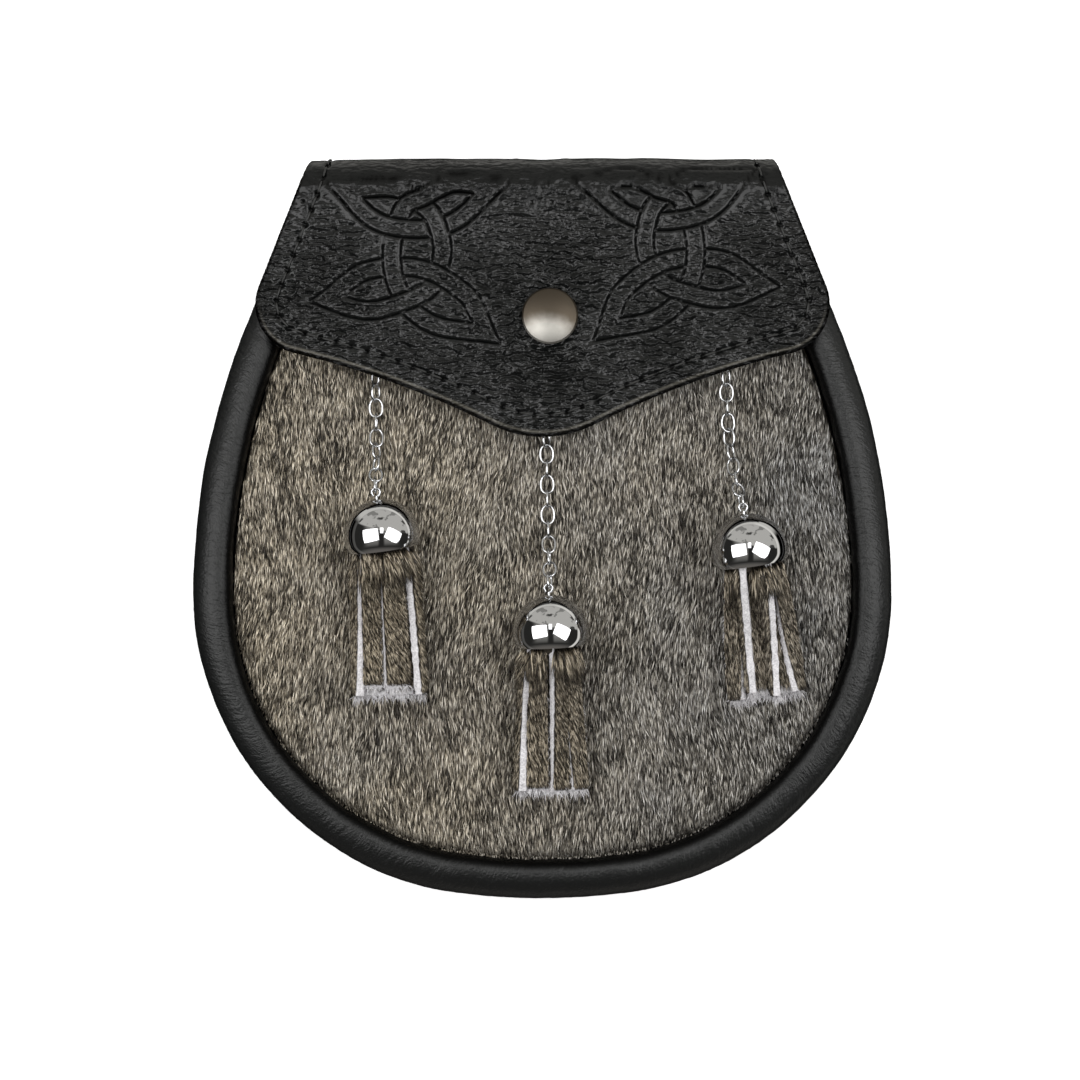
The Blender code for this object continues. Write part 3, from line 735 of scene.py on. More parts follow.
@dataclass(frozen=True)
class BridleLeather:
    """Bridle leather, drum-dyed and waxed smooth: fine pores and a soft broad uneven shine."""

    body: str = "#121212"
    hollow: str = "#0d0d0d"
    roughness: float = 0.5
    uneven: float = 0.1
    gloss: float = 0.5
    pore_mm: float = 1.2
    fibre_mm: float = 2.6
    cloud_mm: float = 22.0
    relief_mm: float = 0.2

    def material(self) -> bpy.types.Material:
        """The material, on Object coordinates."""
        material, add, at = begin("black bridle leather")
        cell = {"Vector": at, "Scale": cells(self.pore_mm)}
        pores = add("TexVoronoi", cell, feature="DISTANCE_TO_EDGE")
        pore = add("MapRange", {"Value": pores, "From Max": 0.2})
        fine = add("TexNoise", {"Vector": at, "Scale": cells(self.fibre_mm), "Detail": 5.0})
        height = add("Math", {0: pore, 1: 0.35, 2: fine}, operation="MULTIPLY_ADD")
        bump = add("Bump", {"Height": height, "Distance": self.relief_mm * MM, "Strength": 1.0})
        cloudy = add("TexNoise", {"Vector": at, "Scale": cells(self.cloud_mm), "Detail": 4.0})
        low, high = self.roughness - self.uneven, self.roughness + self.uneven
        rough = add("MapRange", {"Value": cloudy, "To Min": low, "To Max": high})
        shades = {"Factor": cloudy, "A": linear(self.hollow), "B": linear(self.body)}
        colour = add("Mix", shades, data_type="RGBA")
        looks = {"Base Color": colour, "Roughness": rough, "Normal": bump}
        return finish(material, {**looks, "Specular IOR Level": self.gloss})


@dataclass(frozen=True)
class DrawnNappa:
    """Nappa leather drawn tight over a round core and polished.

    The eye gets a soft shine along the crest and the outer side, with faint wrinkles across the
    roll and a fine even grain; the inner side carries painted shade, near black and less glossy.
    """

    body: str = "#101111"
    inner_shade: str = "#050505"
    inner_shade_gloss: float = 0.08
    inner_shade_mm: tuple[float, float] = (-2.0, -4.3)
    roughness: float = 0.38
    gloss: float = 0.37
    wrinkle_mm: tuple[float, float] = (1.0, 3.4)
    wrinkle: float = 0.20
    grain_mm: float = 0.6
    grain: float = 0.12

    def material(self) -> bpy.types.Material:
        """The material, which reads the roll's values run, inwards and rise, in millimetres."""
        material, add, _ = begin("drawn nappa leather")
        keys = ("run", "inwards", "rise")
        values = (add("Attribute", attribute_name=key).outputs["Fac"] for key in keys)
        run, inwards, rise = values
        straight = add("CombineXYZ", {"X": run, "Y": inwards, "Z": rise})
        near, far = (1 / length for length in self.wrinkle_mm)
        drawn = add("Mapping", {"Vector": straight, "Scale": (near, far, far)})
        pulled = {"Vector": drawn, "Scale": 1.0, "Detail": 2.0, "Distortion": 0.5}
        grain = add("TexNoise", {"Vector": straight, "Scale": 1 / self.grain_mm, "Detail": 1.0})
        fine = add("Math", {0: grain, 1: self.grain}, operation="MULTIPLY")
        wrinkles = {0: add("TexNoise", pulled), 1: self.wrinkle, 2: fine}
        height = add("Math", wrinkles, operation="MULTIPLY_ADD")
        bump = add("Bump", {"Height": height, "Distance": MM, "Strength": 1.0})
        # Painted shade: the inner side of the roll, towards the fur, turns near black and less
        # glossy.
        start, end = self.inner_shade_mm
        inner_shade_mask = add("MapRange", {"Value": inwards, "From Min": start, "From Max": end}, **SOFTLY)
        shades = {"Factor": inner_shade_mask, "A": linear(self.body), "B": linear(self.inner_shade)}
        shine = {"Value": inner_shade_mask, "To Min": self.gloss, "To Max": self.inner_shade_gloss}
        looks = {"Base Color": add("Mix", shades, data_type="RGBA"), "Roughness": self.roughness}
        looks |= {"Normal": bump, "Specular IOR Level": add("MapRange", shine)}
        return finish(material, looks)


@dataclass(frozen=True)
class BandedHair:
    """Grey-brown hair of a wild coat: dark at the root, pale in the middle and dark at the tip.

    The eye gets salt-and-pepper strokes, warmer in some parts of the hide and greyer in others.
    """

    name: str = "banded grey hair"
    root: str = "#423e37"
    middle: str = "#cbc5ba"
    pale: str = "#fbf7f0"
    tip: str = "#96918a"
    warm: str = "#fff8ea"
    cool: str = "#d4d8df"
    region_mm: float = 38.0

    def material(self) -> bpy.types.Material:
        """The material, which reads each hair's tint and place from its UV."""
        material, add, at = begin(self.name)
        split = add("SeparateXYZ", {"Vector": add("UVMap", uv_map="UVMap")})
        along = [(0.0, self.root), (0.28, self.middle), (0.62, self.pale), (0.92, self.tip)]
        greys = [(0.0, "#3c3a38"), (0.20, "#64615d"), (0.42, "#bfbcb6"), (0.75, "#f6f4f0")]
        bands = add("ValToRGB", {"Fac": split.outputs["Y"]}, along)
        kinds = add("ValToRGB", {"Fac": split.outputs["X"]}, [*greys, (1.0, "#ffffff")])
        paired = {"Factor": 1.0, "A": bands, "B": kinds}
        hair = add("Mix", paired, data_type="RGBA", blend_type="MULTIPLY")
        region = add("TexNoise", {"Vector": at, "Scale": cells(self.region_mm), "Detail": 3.0})
        across = add("SeparateXYZ", {"Vector": at}).outputs["X"]
        lean = {0: across, 1: 4.5, 2: region}
        side = add("Math", lean, operation="MULTIPLY_ADD", use_clamp=True)
        casts = {"Factor": side, "A": linear(self.warm), "B": linear(self.cool)}
        tints = {"Factor": 1.0, "A": hair, "B": add("Mix", casts, data_type="RGBA")}
        tinted = add("Mix", tints, data_type="RGBA", blend_type="MULTIPLY")
        looks = {"Base Color": tinted, "Roughness": 0.46, "Specular IOR Level": 0.4}
        return finish(material, looks)


@dataclass(frozen=True)
class CutHide:
    """Alum-tawed hide, cut with a knife: chalk-white, matt and fibrous, soft along its edges."""

    body: str = "#e6e4e6"
    shade: str = "#bfbdc0"
    under_hair: str = "#2b251c"
    fibre_mm: float = 0.5
    relief_mm: float = 0.15

    def material(self) -> bpy.types.Material:
        """The material; the value haired darkens the grain side, which lies under the hair."""
        material, add, at = begin("tawed hide")
        net = {"Vector": at, "Scale": cells(self.fibre_mm), "Detail": 4.0, "Roughness": 0.65}
        fibre = add("TexNoise", net)
        soil = add("MapRange", {"Value": fibre, "From Min": 0.35, "From Max": 0.62})
        shades = {"Factor": soil, "A": linear(self.shade), "B": linear(self.body)}
        haired = add("Attribute", attribute_name="haired").outputs["Fac"]
        grain = {"Factor": haired, "A": add("Mix", shades, data_type="RGBA")}
        sides = add("Mix", {**grain, "B": linear(self.under_hair)}, data_type="RGBA")
        bump = add("Bump", {"Height": fibre, "Distance": self.relief_mm * MM, "Strength": 1.0})
        return finish(material, {"Base Color": sides, "Roughness": 0.92, "Normal": bump})


@dataclass(frozen=True)
class DarkPelt:
    """Hide under a coat: brown-black skin and matted underfur, matt, in strands 0.5 mm apart."""

    body: str = "#2f2a23"
    light: str = "#5e574b"
    strand_mm: tuple[float, float, float] = (0.5, 3.0, 1.0)
    relief_mm: float = 0.3

    def material(self) -> bpy.types.Material:
        """The material, on Object coordinates."""
        material, add, at = begin("pelt under the hair")
        scale = tuple(cells(size) for size in self.strand_mm)
        laid = add("Mapping", {"Vector": at, "Scale": scale})
        strand = add("TexNoise", {"Vector": laid, "Scale": 1.0})
        shades = {"Factor": strand, "A": linear(self.body), "B": linear(self.light)}
        colour = add("Mix", shades, data_type="RGBA")
        bump = add("Bump", {"Height": strand, "Distance": self.relief_mm * MM, "Strength": 1.0})
        return finish(material, {"Base Color": colour, "Roughness": 0.9, "Normal": bump})


@dataclass(frozen=True)
class PlatedMetal:
    """Plated metal: one colour, with faint handling marks in its gloss."""

    name: str
    body: str
    roughness: float
    mark_mm: float
    mark: float

    def material(self) -> bpy.types.Material:
        """The material, on Object coordinates."""
        material, add, at = begin(self.name)
        marks = add("TexNoise", {"Vector": at, "Scale": cells(self.mark_mm), "Detail": 5.0})
        low, high = max(self.roughness - self.mark, 0.0), self.roughness + self.mark
        rough = add("MapRange", {"Value": marks, "To Min": low, "To Max": high})
        looks = {"Base Color": linear(self.body), "Roughness": rough, "Metallic": 1.0}
        return finish(material, looks)


@dataclass(frozen=True)
class AntiqueNickel:
    """Antique nickel: oxidised brown-black and lacquered; its lower middle has a painted
    reflection.

    The eye gets a dark warm metal with a soft silvery patch, which is a painted reflection, and a
    satin gloss.
    """

    patina: str = "#4d463d"
    # Colour of the painted reflection on the lower middle.
    painted_reflection: str = "#d3d0c9"
    roughness: float = 0.44
    patch: tuple[float, float] = (0.8, 51.7)
    patch_mm: tuple[float, float] = (7.8, 5.4)
    mark_mm: float = 1.6

    def material(self) -> bpy.types.Material:
        """The material; the painted reflection is a soft bright oval on Object coordinates."""
        material, add, at = begin("antique nickel, lacquered")
        wide, tall = (cells(size) for size in self.patch_mm)
        middle = [-place / size for place, size in zip(self.patch, self.patch_mm)]
        away = {"Vector": at, "Location": (*middle, 0.0), "Scale": (wide, tall, 0.0)}
        reach = add("VectorMath", {0: add("Mapping", away)}, operation="LENGTH").outputs["Value"]
        marks = add("TexNoise", {"Vector": at, "Scale": cells(self.mark_mm), "Detail": 5.0})
        ragged = add("Math", {0: marks, 1: 0.2, 2: reach}, operation="MULTIPLY_ADD")
        fade = {"Value": ragged, "From Min": 0.15, "From Max": 1.45, "To Min": 1.0, "To Max": 0.0}
        # Painted reflection: inside the soft oval the cap is mixed to the bright colour.
        painted_highlight = add("MapRange", fade, **SOFTLY)
        shades = {"Factor": painted_highlight, "A": linear(self.patina), "B": linear(self.painted_reflection)}
        colour = add("Mix", shades, data_type="RGBA")
        low, high = self.roughness - 0.05, self.roughness + 0.07
        rough = add("MapRange", {"Value": marks, "To Min": low, "To Max": high})
        return finish(material, {"Base Color": colour, "Roughness": rough, "Metallic": 1.0})


@dataclass(frozen=True)
class WaxedThread:
    """Bonded nylon thread, waxed: near black, with the low shine of its twist."""

    body: str = "#242423"
    twist_mm: float = 0.5
    relief_mm: float = 0.1

    def material(self) -> bpy.types.Material:
        """The material, on Object coordinates."""
        material, add, at = begin("waxed nylon thread")
        twist = add("TexNoise", {"Vector": at, "Scale": cells(self.twist_mm)})
        bump = add("Bump", {"Height": twist, "Distance": self.relief_mm * MM, "Strength": 1.0})
        return finish(material, {"Base Color": linear(self.body), "Roughness": 0.5, "Normal": bump})


@dataclass(frozen=True)
class LightTable:
    """White acrylic sheet of a light table: matt, and lit a little from below to stay white."""

    body: str = "#fbfbfb"
    glow: float = 0.55

    def material(self) -> bpy.types.Material:
        """The material of the floor."""
        material, _, _ = begin("white acrylic light table")
        white = linear(self.body)
        looks = {"Base Color": white, "Roughness": 0.9, "Specular IOR Level": 0.1}
        return finish(material, {**looks, "Emission Color": white, "Emission Strength": self.glow})


CHROME = PlatedMetal("bright chrome plate", "#c6c6c7", 0.03, 6.0, 0.015)
NICKEL_WIRE = PlatedMetal("nickel-plated steel wire", "#c9cacc", 0.16, 2.0, 0.05)


# ---------------------------------------------------------------- the pouch's form


@dataclass(frozen=True)
class PouchForm:
    """Outline and heights of the pouch, as its CAD frame has them."""

    half_width: float = 95.0
    half_height: float = 100.8
    widest_y: float = -17.0
    lower_arc: float = 83.0
    side_arc: float = 195.0
    side_lean: float = math.radians(21.5)
    crest_low: float = 31.0
    crest_top: float = 23.5
    crest_fade: float = 130.0
    fold_y: float = 91.7
    back_rise: float = 2.5
    back_rise_to: float = 20.0
    rim_width: float = 10.9
    rim_height: float = 11.0
    fur_depth: float = 5.0
    fur_crown: float = 3.5

    def crest(self, y: Array) -> Array:
        """Height of the rim's crest: a smooth fall towards the mouth."""
        fall = smooth_step((self.fold_y - np.asarray(y)) / self.crest_fade)
        return self.crest_top + (self.crest_low - self.crest_top) * fall

    def back_under(self, y: Array) -> Array:
        """Underside of the back panel, which rises over the belt loops and the flap's tail."""
        return self.back_rise * smooth_step(np.asarray(y) / self.back_rise_to)

    def bottom_arc(self) -> tuple[float, float]:
        """Turn and radius of the arc across the bottom, which follow from the other arcs."""
        across = self.half_width - self.lower_arc
        turn = 2 * math.atan2(self.widest_y + self.half_height - self.lower_arc, across)
        return turn, self.lower_arc + across / math.sin(turn)

    def straight_from(self) -> tuple[float, float]:
        """Where the side arc ends and the straight side starts."""
        x = self.half_width - self.side_arc + self.side_arc * math.cos(self.side_lean)
        return x, self.widest_y + self.side_arc * math.sin(self.side_lean)

    def edge(self, t: Array, inset: Array | float = 0.0) -> Array:
        """Points of the outline, moved in by inset.

        Formula: tangent arcs (bottom, lower, side) and a straight side, one for each unit of t,
        mirrored where t is negative.

        Args:
            t: 0 at the bottom centre to 4 at the top right.
            inset: distance inwards.

        Returns:
            (x, y) pairs in the last axis.
        """
        side, t = np.where(t < 0, -1.0, 1.0), np.abs(t)
        turn, bottom = self.bottom_arc()
        parts = [t < 1, t < 2]
        lower_x, side_x = self.half_width - self.lower_arc, self.half_width - self.side_arc
        centre_x = np.select(parts, [0.0, lower_x], side_x)
        centre_y = np.select(parts, [bottom - self.half_height, self.widest_y], self.widest_y)
        radius = np.select(parts, [bottom, self.lower_arc], self.side_arc) - inset
        angle = np.select(
            parts,
            [turn * t - np.pi / 2, (turn - np.pi / 2) * (2 - t)],
            self.side_lean * np.clip(t - 2, 0, 1),
        )
        rise = np.clip(t - 3, 0, None) * (self.half_height - self.straight_from()[1])
        x = centre_x + radius * np.cos(angle) - rise * math.tan(self.side_lean)
        return np.stack([side * x, centre_y + radius * np.sin(angle) + rise], axis=-1)

    def edge_t(self, y: float, inset: float = 0.0) -> float:
        """The t on the straight side at which the outline, moved in by inset, has this height."""
        low = self.straight_from()[1]
        return 3 + (y + inset * math.sin(self.side_lean) - low) / (self.half_height - low)

    def even_t(self, count: int, end_y: float) -> Array:
        """Values of t evenly spaced along the outline, from the left end at end_y to the right."""
        end = self.edge_t(end_y)
        t = np.linspace(-end, end, 4001)
        run = running_length(self.edge(t))
        return np.interp(np.linspace(0, run[-1], count), run, t)

    def straight_width(self, y: Array) -> Array:
        """Half the width between the straight sides, carried on above and below them."""
        x, low = self.straight_from()
        return x - (np.asarray(y) - low) * math.tan(self.side_lean)

    def half_width_at(self, y: Array, inset: float = 0.0) -> Array:
        """Half the width of the outline at height y, moved in by inset."""
        y = np.asarray(y, float)
        turn, bottom = self.bottom_arc()
        side = np.maximum((self.side_arc - inset) ** 2 - (y - self.widest_y) ** 2, 0)
        lower = np.maximum((self.lower_arc - inset) ** 2 - (y - self.widest_y) ** 2, 0)
        under = np.maximum((bottom - inset) ** 2 - (y - bottom + self.half_height) ** 2, 0)
        parts = [
            y > self.widest_y + (self.side_arc - inset) * math.sin(self.side_lean),
            y > self.widest_y,
            y > self.widest_y - (self.lower_arc - inset) * math.cos(turn),
        ]
        widths = [
            self.straight_width(y) - inset / math.cos(self.side_lean),
            self.half_width - self.side_arc + np.sqrt(side),
            self.half_width - self.lower_arc + np.sqrt(lower),
        ]
        return np.select(parts, widths, np.sqrt(under))

    def fur_top(self, x: Array, y: Array) -> Array:
        """Top of the fur: below the rim's crest, and crowned in the middle."""
        inset = self.rim_width + GAP
        across = np.asarray(x) / np.maximum(self.half_width_at(y, inset), 1.0)
        down = np.minimum(y, 0.0) / (self.half_height - inset)
        crown = np.maximum(1 - across**2, 0.0) * np.maximum(1 - down**2, 0.0)
        return self.crest(y) - self.fur_depth + self.fur_crown * crown

    def patch(self, inset: float, top_y: float, columns: Array, rows: Array) -> Array:
        """Grid that fills the outline, moved in by inset, up to a straight edge.

        Formula: a Coons patch between the bottom, the two sides and the top edge.

        Args:
            inset: distance inwards from the outline.
            top_y: height of the straight top edge.
            columns: shares across, from 0 to 1.
            rows: shares upwards, from 0 to 1.

        Returns:
            (x, y) pairs as (row, column, coordinate).
        """
        corner, top_t = 1.5, self.edge_t(top_y, inset)
        right = resampled(self.edge(np.linspace(corner, top_t, 800), inset), rows)
        bottom = resampled(self.edge(np.linspace(-corner, corner, 800), inset), columns)
        top = np.stack([(2 * columns - 1) * right[-1, 0], np.full(len(columns), top_y)], axis=1)
        return coons(right * (-1, 1), right, bottom, top, columns, rows)


def coons(
    left: Array, right: Array, bottom: Array, top: Array, columns: Array, rows: Array
) -> Array:
    """Grid between four edges.

    Formula: the sum of the two ruled surfaces less the bilinear one through the four corners.

    Args:
        left: points of the left edge, upwards.
        right: points of the right edge, upwards.
        bottom: points of the bottom edge, to the right.
        top: points of the top edge, to the right.
        columns: shares across at the bottom's points.
        rows: shares upwards at the sides' points.

    Returns:
        Points as (row, column, coordinate).
    """
    u, v = columns[None, :, None], rows[:, None, None]
    across = (1 - u) * left[:, None] + u * right[:, None]
    upwards = (1 - v) * bottom[None] + v * top[None]
    low = (1 - u) * bottom[0] + u * bottom[-1]
    high = (1 - u) * top[0] + u * top[-1]
    return across + upwards - (1 - v) * low - v * high


# ---------------------------------------------------------------- leather body


@dataclass
class Body:
    """Back panel, side wall, rim and belt loops."""

    form: PouchForm
    back_thick: float = 2.0
    back_inset: float = 0.8
    back_top_y: float = 95.0
    wall_thick: float = 2.0
    wall_inset: float = 3.5
    wall_rings: int = 360
    wall_sides: int = 9
    rim_end_y: float = 92.0
    rim_rings: int = 700
    rim_sides: int = 48
    rim_squareness: float = 2.1
    rim_relief: float = 0.16
    crest_lean: float = 0.3
    loop_x: float = 42.0
    loop_width: float = 24.0
    loop_y: tuple[float, float] = (32.0, 75.0)
    loop_thick: float = 2.0
    loop_corner: float = 3.0
    loop_sag: float = 0.2
    loop_seam_inset: float = 3.5
    loop_seam_short: float = 3.0
    loop_seam_height: float = 0.34
    loop_stitch_pitch: float = 3.4
    seam_inset: float = 5.0
    stitch_pitch: float = 4.4
    stitch_length: float = 3.2
    stitch_sunk: float = 0.05
    thread: float = 0.3

    def back_panel(self) -> Shape:
        """Flat back of smooth leather with a rounded edge."""
        shares = edged_shares(170.0, 1.8, both_ends=True)
        plan = self.form.patch(self.back_inset, self.back_top_y, shares, shares)
        middle = self.form.back_under(plan[..., 1]) + self.back_thick / 2
        grid = np.concatenate([plan, middle[..., None]], axis=2)
        t = np.linspace(-1, 1, 1600) * self.form.edge_t(self.back_top_y, self.back_inset)
        outline = self.form.edge(t, self.back_inset)
        top = np.linspace(outline[-1], outline[0], 400)
        border, _ = nearest(plan.reshape(-1, 2), np.vstack([outline, top]))
        border = border.reshape(plan.shape[:2])
        return leather_sheet(grid, self.back_thick, border, 0.0, 0.7, step=2)

    def gusset(self) -> Shape:
        """Side wall: a ribbon on edge round the outline, drawn in a little between its seams."""
        t = self.form.even_t(self.wall_rings, self.rim_end_y)
        y = self.form.edge(t)[:, 1]
        low = self.form.back_under(y) + self.back_thick + GAP
        high = self.form.crest(y) - self.form.rim_height - GAP
        up = np.linspace(0, 1, self.wall_sides)
        up = np.concatenate([up, np.linspace(1, 0, self.wall_sides)])
        deep = np.repeat([0.0, self.wall_thick], self.wall_sides)
        run = running_length(self.form.edge(t))
        ripple = smooth_noise(run[:, None], up[None] * 8, 9.0, 3.0)
        drawn = 0.5 * np.sin(np.pi * up)[None] * (1 + 0.5 * ripple)
        flat = self.form.edge(t[:, None], self.wall_inset + deep[None] + drawn)
        height = low[:, None] * (1 - up) + high[:, None] * up
        return skin(np.concatenate([flat, height[..., None]], axis=2))

    def rim(self) -> Shape:
        """Padded roll of leather round the front.

        Formula: a superellipse, its crest drawn inwards by crest_lean times the square of the
        height, is carried round the outline. Its skin is moved by fine creases across the roll, by
        slow soft swells, and by short tucks on the inner side. Its values run, inwards and rise are
        the place of each point on the roll if it were laid straight, a little aslant.
        """
        t = self.form.even_t(self.rim_rings, self.rim_end_y)
        turns = 2 * np.pi * np.arange(self.rim_sides) / self.rim_sides
        across, up = superellipse(turns, self.rim_squareness)
        across = across - self.crest_lean * np.maximum(up, 0.0) ** 2
        outline = self.form.edge(t)
        run = running_length(outline)[:, None] * np.ones_like(turns)
        skew = run + 1.6 * smooth_noise(run, across[None] * 6, 7.0, 5.0)
        crease = -(np.abs(smooth_noise(skew, turns[None] * 1.6, 2.3, 11.0)) ** 0.6)
        crease *= self.rim_relief * (0.6 + 0.4 * smooth_noise(run, turns[None] * 4, 24.0, 2.0))
        swell = self.rim_relief * smooth_noise(run, turns[None] * 5, 16.0, 8.0)
        tuck = self.rim_relief * smooth_noise(run, 0 * run, 4.0, 21.0)
        tuck *= smooth_step(-across[None])
        move = crease + swell + tuck - 0.1
        middle = self.form.crest(outline[:, 1])[:, None] - self.form.rim_height / 2
        inset = self.form.rim_width / 2 * (1 - across[None]) - move * np.cos(turns)[None]
        height = middle + self.form.rim_height / 2 * up[None] + move * np.sin(turns)[None]
        flat = self.form.edge(t[:, None], inset)
        shape = skin(np.concatenate([flat, height[..., None]], axis=2))
        inwards = np.broadcast_to(self.form.rim_width / 2 * across, run.shape)
        rise = np.broadcast_to(self.form.rim_height / 2 * up, run.shape)
        for key, numbers in (("run", skew + 0.35 * inwards), ("inwards", inwards), ("rise", rise)):
            shape.values[key] = np.concatenate([numbers.ravel(), numbers[[0, -1]].mean(axis=1)])
        return shape

    def belt_loop(self, x: float) -> Shape:
        """Flattened loop of leather with round corners, pushed down at both ends."""
        low, high = self.loop_y
        shares = edged_shares(high - low, 1.0, both_ends=True)
        y = low + (high - low) * shares
        from_end = np.minimum(y - low, high - y)
        short = np.maximum(self.loop_corner - from_end, 0.0)
        corner = self.loop_corner - np.sqrt(np.maximum(self.loop_corner**2 - short**2, 0.0))
        near = np.minimum(shares, 1 - shares) / 0.16
        rise = self.loop_sag * (1 - smooth_step(near)) + self.loop_thick / 2
        half = self.loop_width / 2 - corner
        across = 2 * edged_shares(self.loop_width, 1.0, both_ends=True) - 1
        plan_x = half[:, None] * across[None]
        grid = np.stack([x + plan_x, y[:, None] + 0 * plan_x, rise[:, None] + 0 * plan_x], axis=2)
        border = np.minimum(from_end[:, None], half[:, None] - np.abs(plan_x))
        return leather_sheet(grid, self.loop_thick, border, 0.0, 0.6, step=2)

    def back_stitches(self) -> Shape:
        """Stitches under the back panel, round its seam, and across the ends of the belt loops."""
        end = self.form.edge_t(self.back_top_y - self.seam_inset, self.seam_inset)
        line = self.form.edge(np.linspace(-end, end, 2000), self.seam_inset)
        middles, along = stitch_places(line, self.stitch_pitch)
        height = self.form.back_under(middles[:, 1]) - self.stitch_sunk
        rows = [(middles, along, height)]
        half = self.loop_width / 2 - self.loop_seam_short
        for x in (-self.loop_x, self.loop_x):
            for y in (self.loop_y[0] + self.loop_seam_inset, self.loop_y[1] - self.loop_seam_inset):
                line = np.array([(x - half, y), (x + half, y)])
                places, way = stitch_places(line, self.loop_stitch_pitch)
                rows.append((places, way, np.full(len(places), self.loop_seam_height)))
        middles = np.vstack([np.column_stack([m, h]) for m, _, h in rows])
        along = np.vstack([np.column_stack([a, 0 * h]) for _, a, h in rows])
        down = np.tile((0.0, 0.0, -1.0), (len(middles), 1))
        return laid_stitches(middles, along, down, self.stitch_length, self.thread)

    def build(self) -> None:
        """Makes and dresses the pieces."""
        plain = BridleLeather().material()
        self.back_panel().place("back_leather", plain, "body_leather", ["back_panel"], 50)
        self.gusset().place("side_leather", plain, "body_leather", ["gusset"], 50)
        rim = self.rim().place("rim_roll", DrawnNappa().material(), "rim_leather", ["rim"])
        for side, x in (("left", -self.loop_x), ("right", self.loop_x)):
            nodes = [f"belt_loop_{side}"]
            self.belt_loop(x).place(f"belt_strap_{side}", plain, "body_leather", nodes, 50)
        self.back_stitches().place("back_stitches", WaxedThread().material(), "body_leather")


def stitch_places(line: Array, pitch: float) -> tuple[Array, Array]:
    """Middles and directions of the stitches along a line.

    Args:
        line: the seam, one point a row.
        pitch: wanted distance from stitch to stitch.

    Returns:
        Middles, and unit directions.
    """
    length = running_length(line)[-1]
    count = max(round(length / pitch), 1)
    ends = resampled(line, np.arange(count + 1) / count)
    return (ends[1:] + ends[:-1]) / 2, unit(ends[1:] - ends[:-1])


def laid_stitches(middles: Array, along: Array, up: Array, length: float, radius: float) -> Shape:
    """Thread of each stitch.

    Formula: a spindle of seven rings, copied to each place. Its ends lie three quarters of the
    thread's radius under the leather, and its middle bows up from there by a whole radius.

    Args:
        middles: middle of each stitch, on the leather.
        along: unit direction of each stitch.
        up: unit normal of the leather at each stitch.
        length: length of a stitch.
        radius: radius of the thread.

    Returns:
        All stitches as one shape.
    """
    sunk = 0.75
    s = np.array([-1.0, -0.8, -0.4, 0.0, 0.4, 0.8, 1.0])
    girth = np.array([0.5, 0.9, 1, 1, 1, 0.9, 0.5])
    path = np.stack([s * length / 2, 0 * s, radius * (1 - s**4 - sunk)], axis=1)
    thread = wire(path, np.array([0.0, 1.0, 0.0]), radius * girth, 6)
    side = unit(np.cross(up, along))
    return copies(thread, middles, np.stack([along, side, unit(np.cross(along, side))], axis=1))


# ---------------------------------------------------------------- fur


@dataclass(frozen=True)
class Coat:
    """One kind of hair in the coat: its spacing, length, width and how it stands."""

    pitch: float
    length: float
    width: float
    rise: float
    bow: float
    seed: int


class CoatKind(Enum):
    """The two kinds of hair in the coat."""

    UNDER = Coat(pitch=0.64, length=4.2, width=0.37, rise=0.34, bow=0.28, seed=5)
    GUARD = Coat(pitch=0.66, length=5.4, width=0.35, rise=0.40, bow=0.40, seed=9)


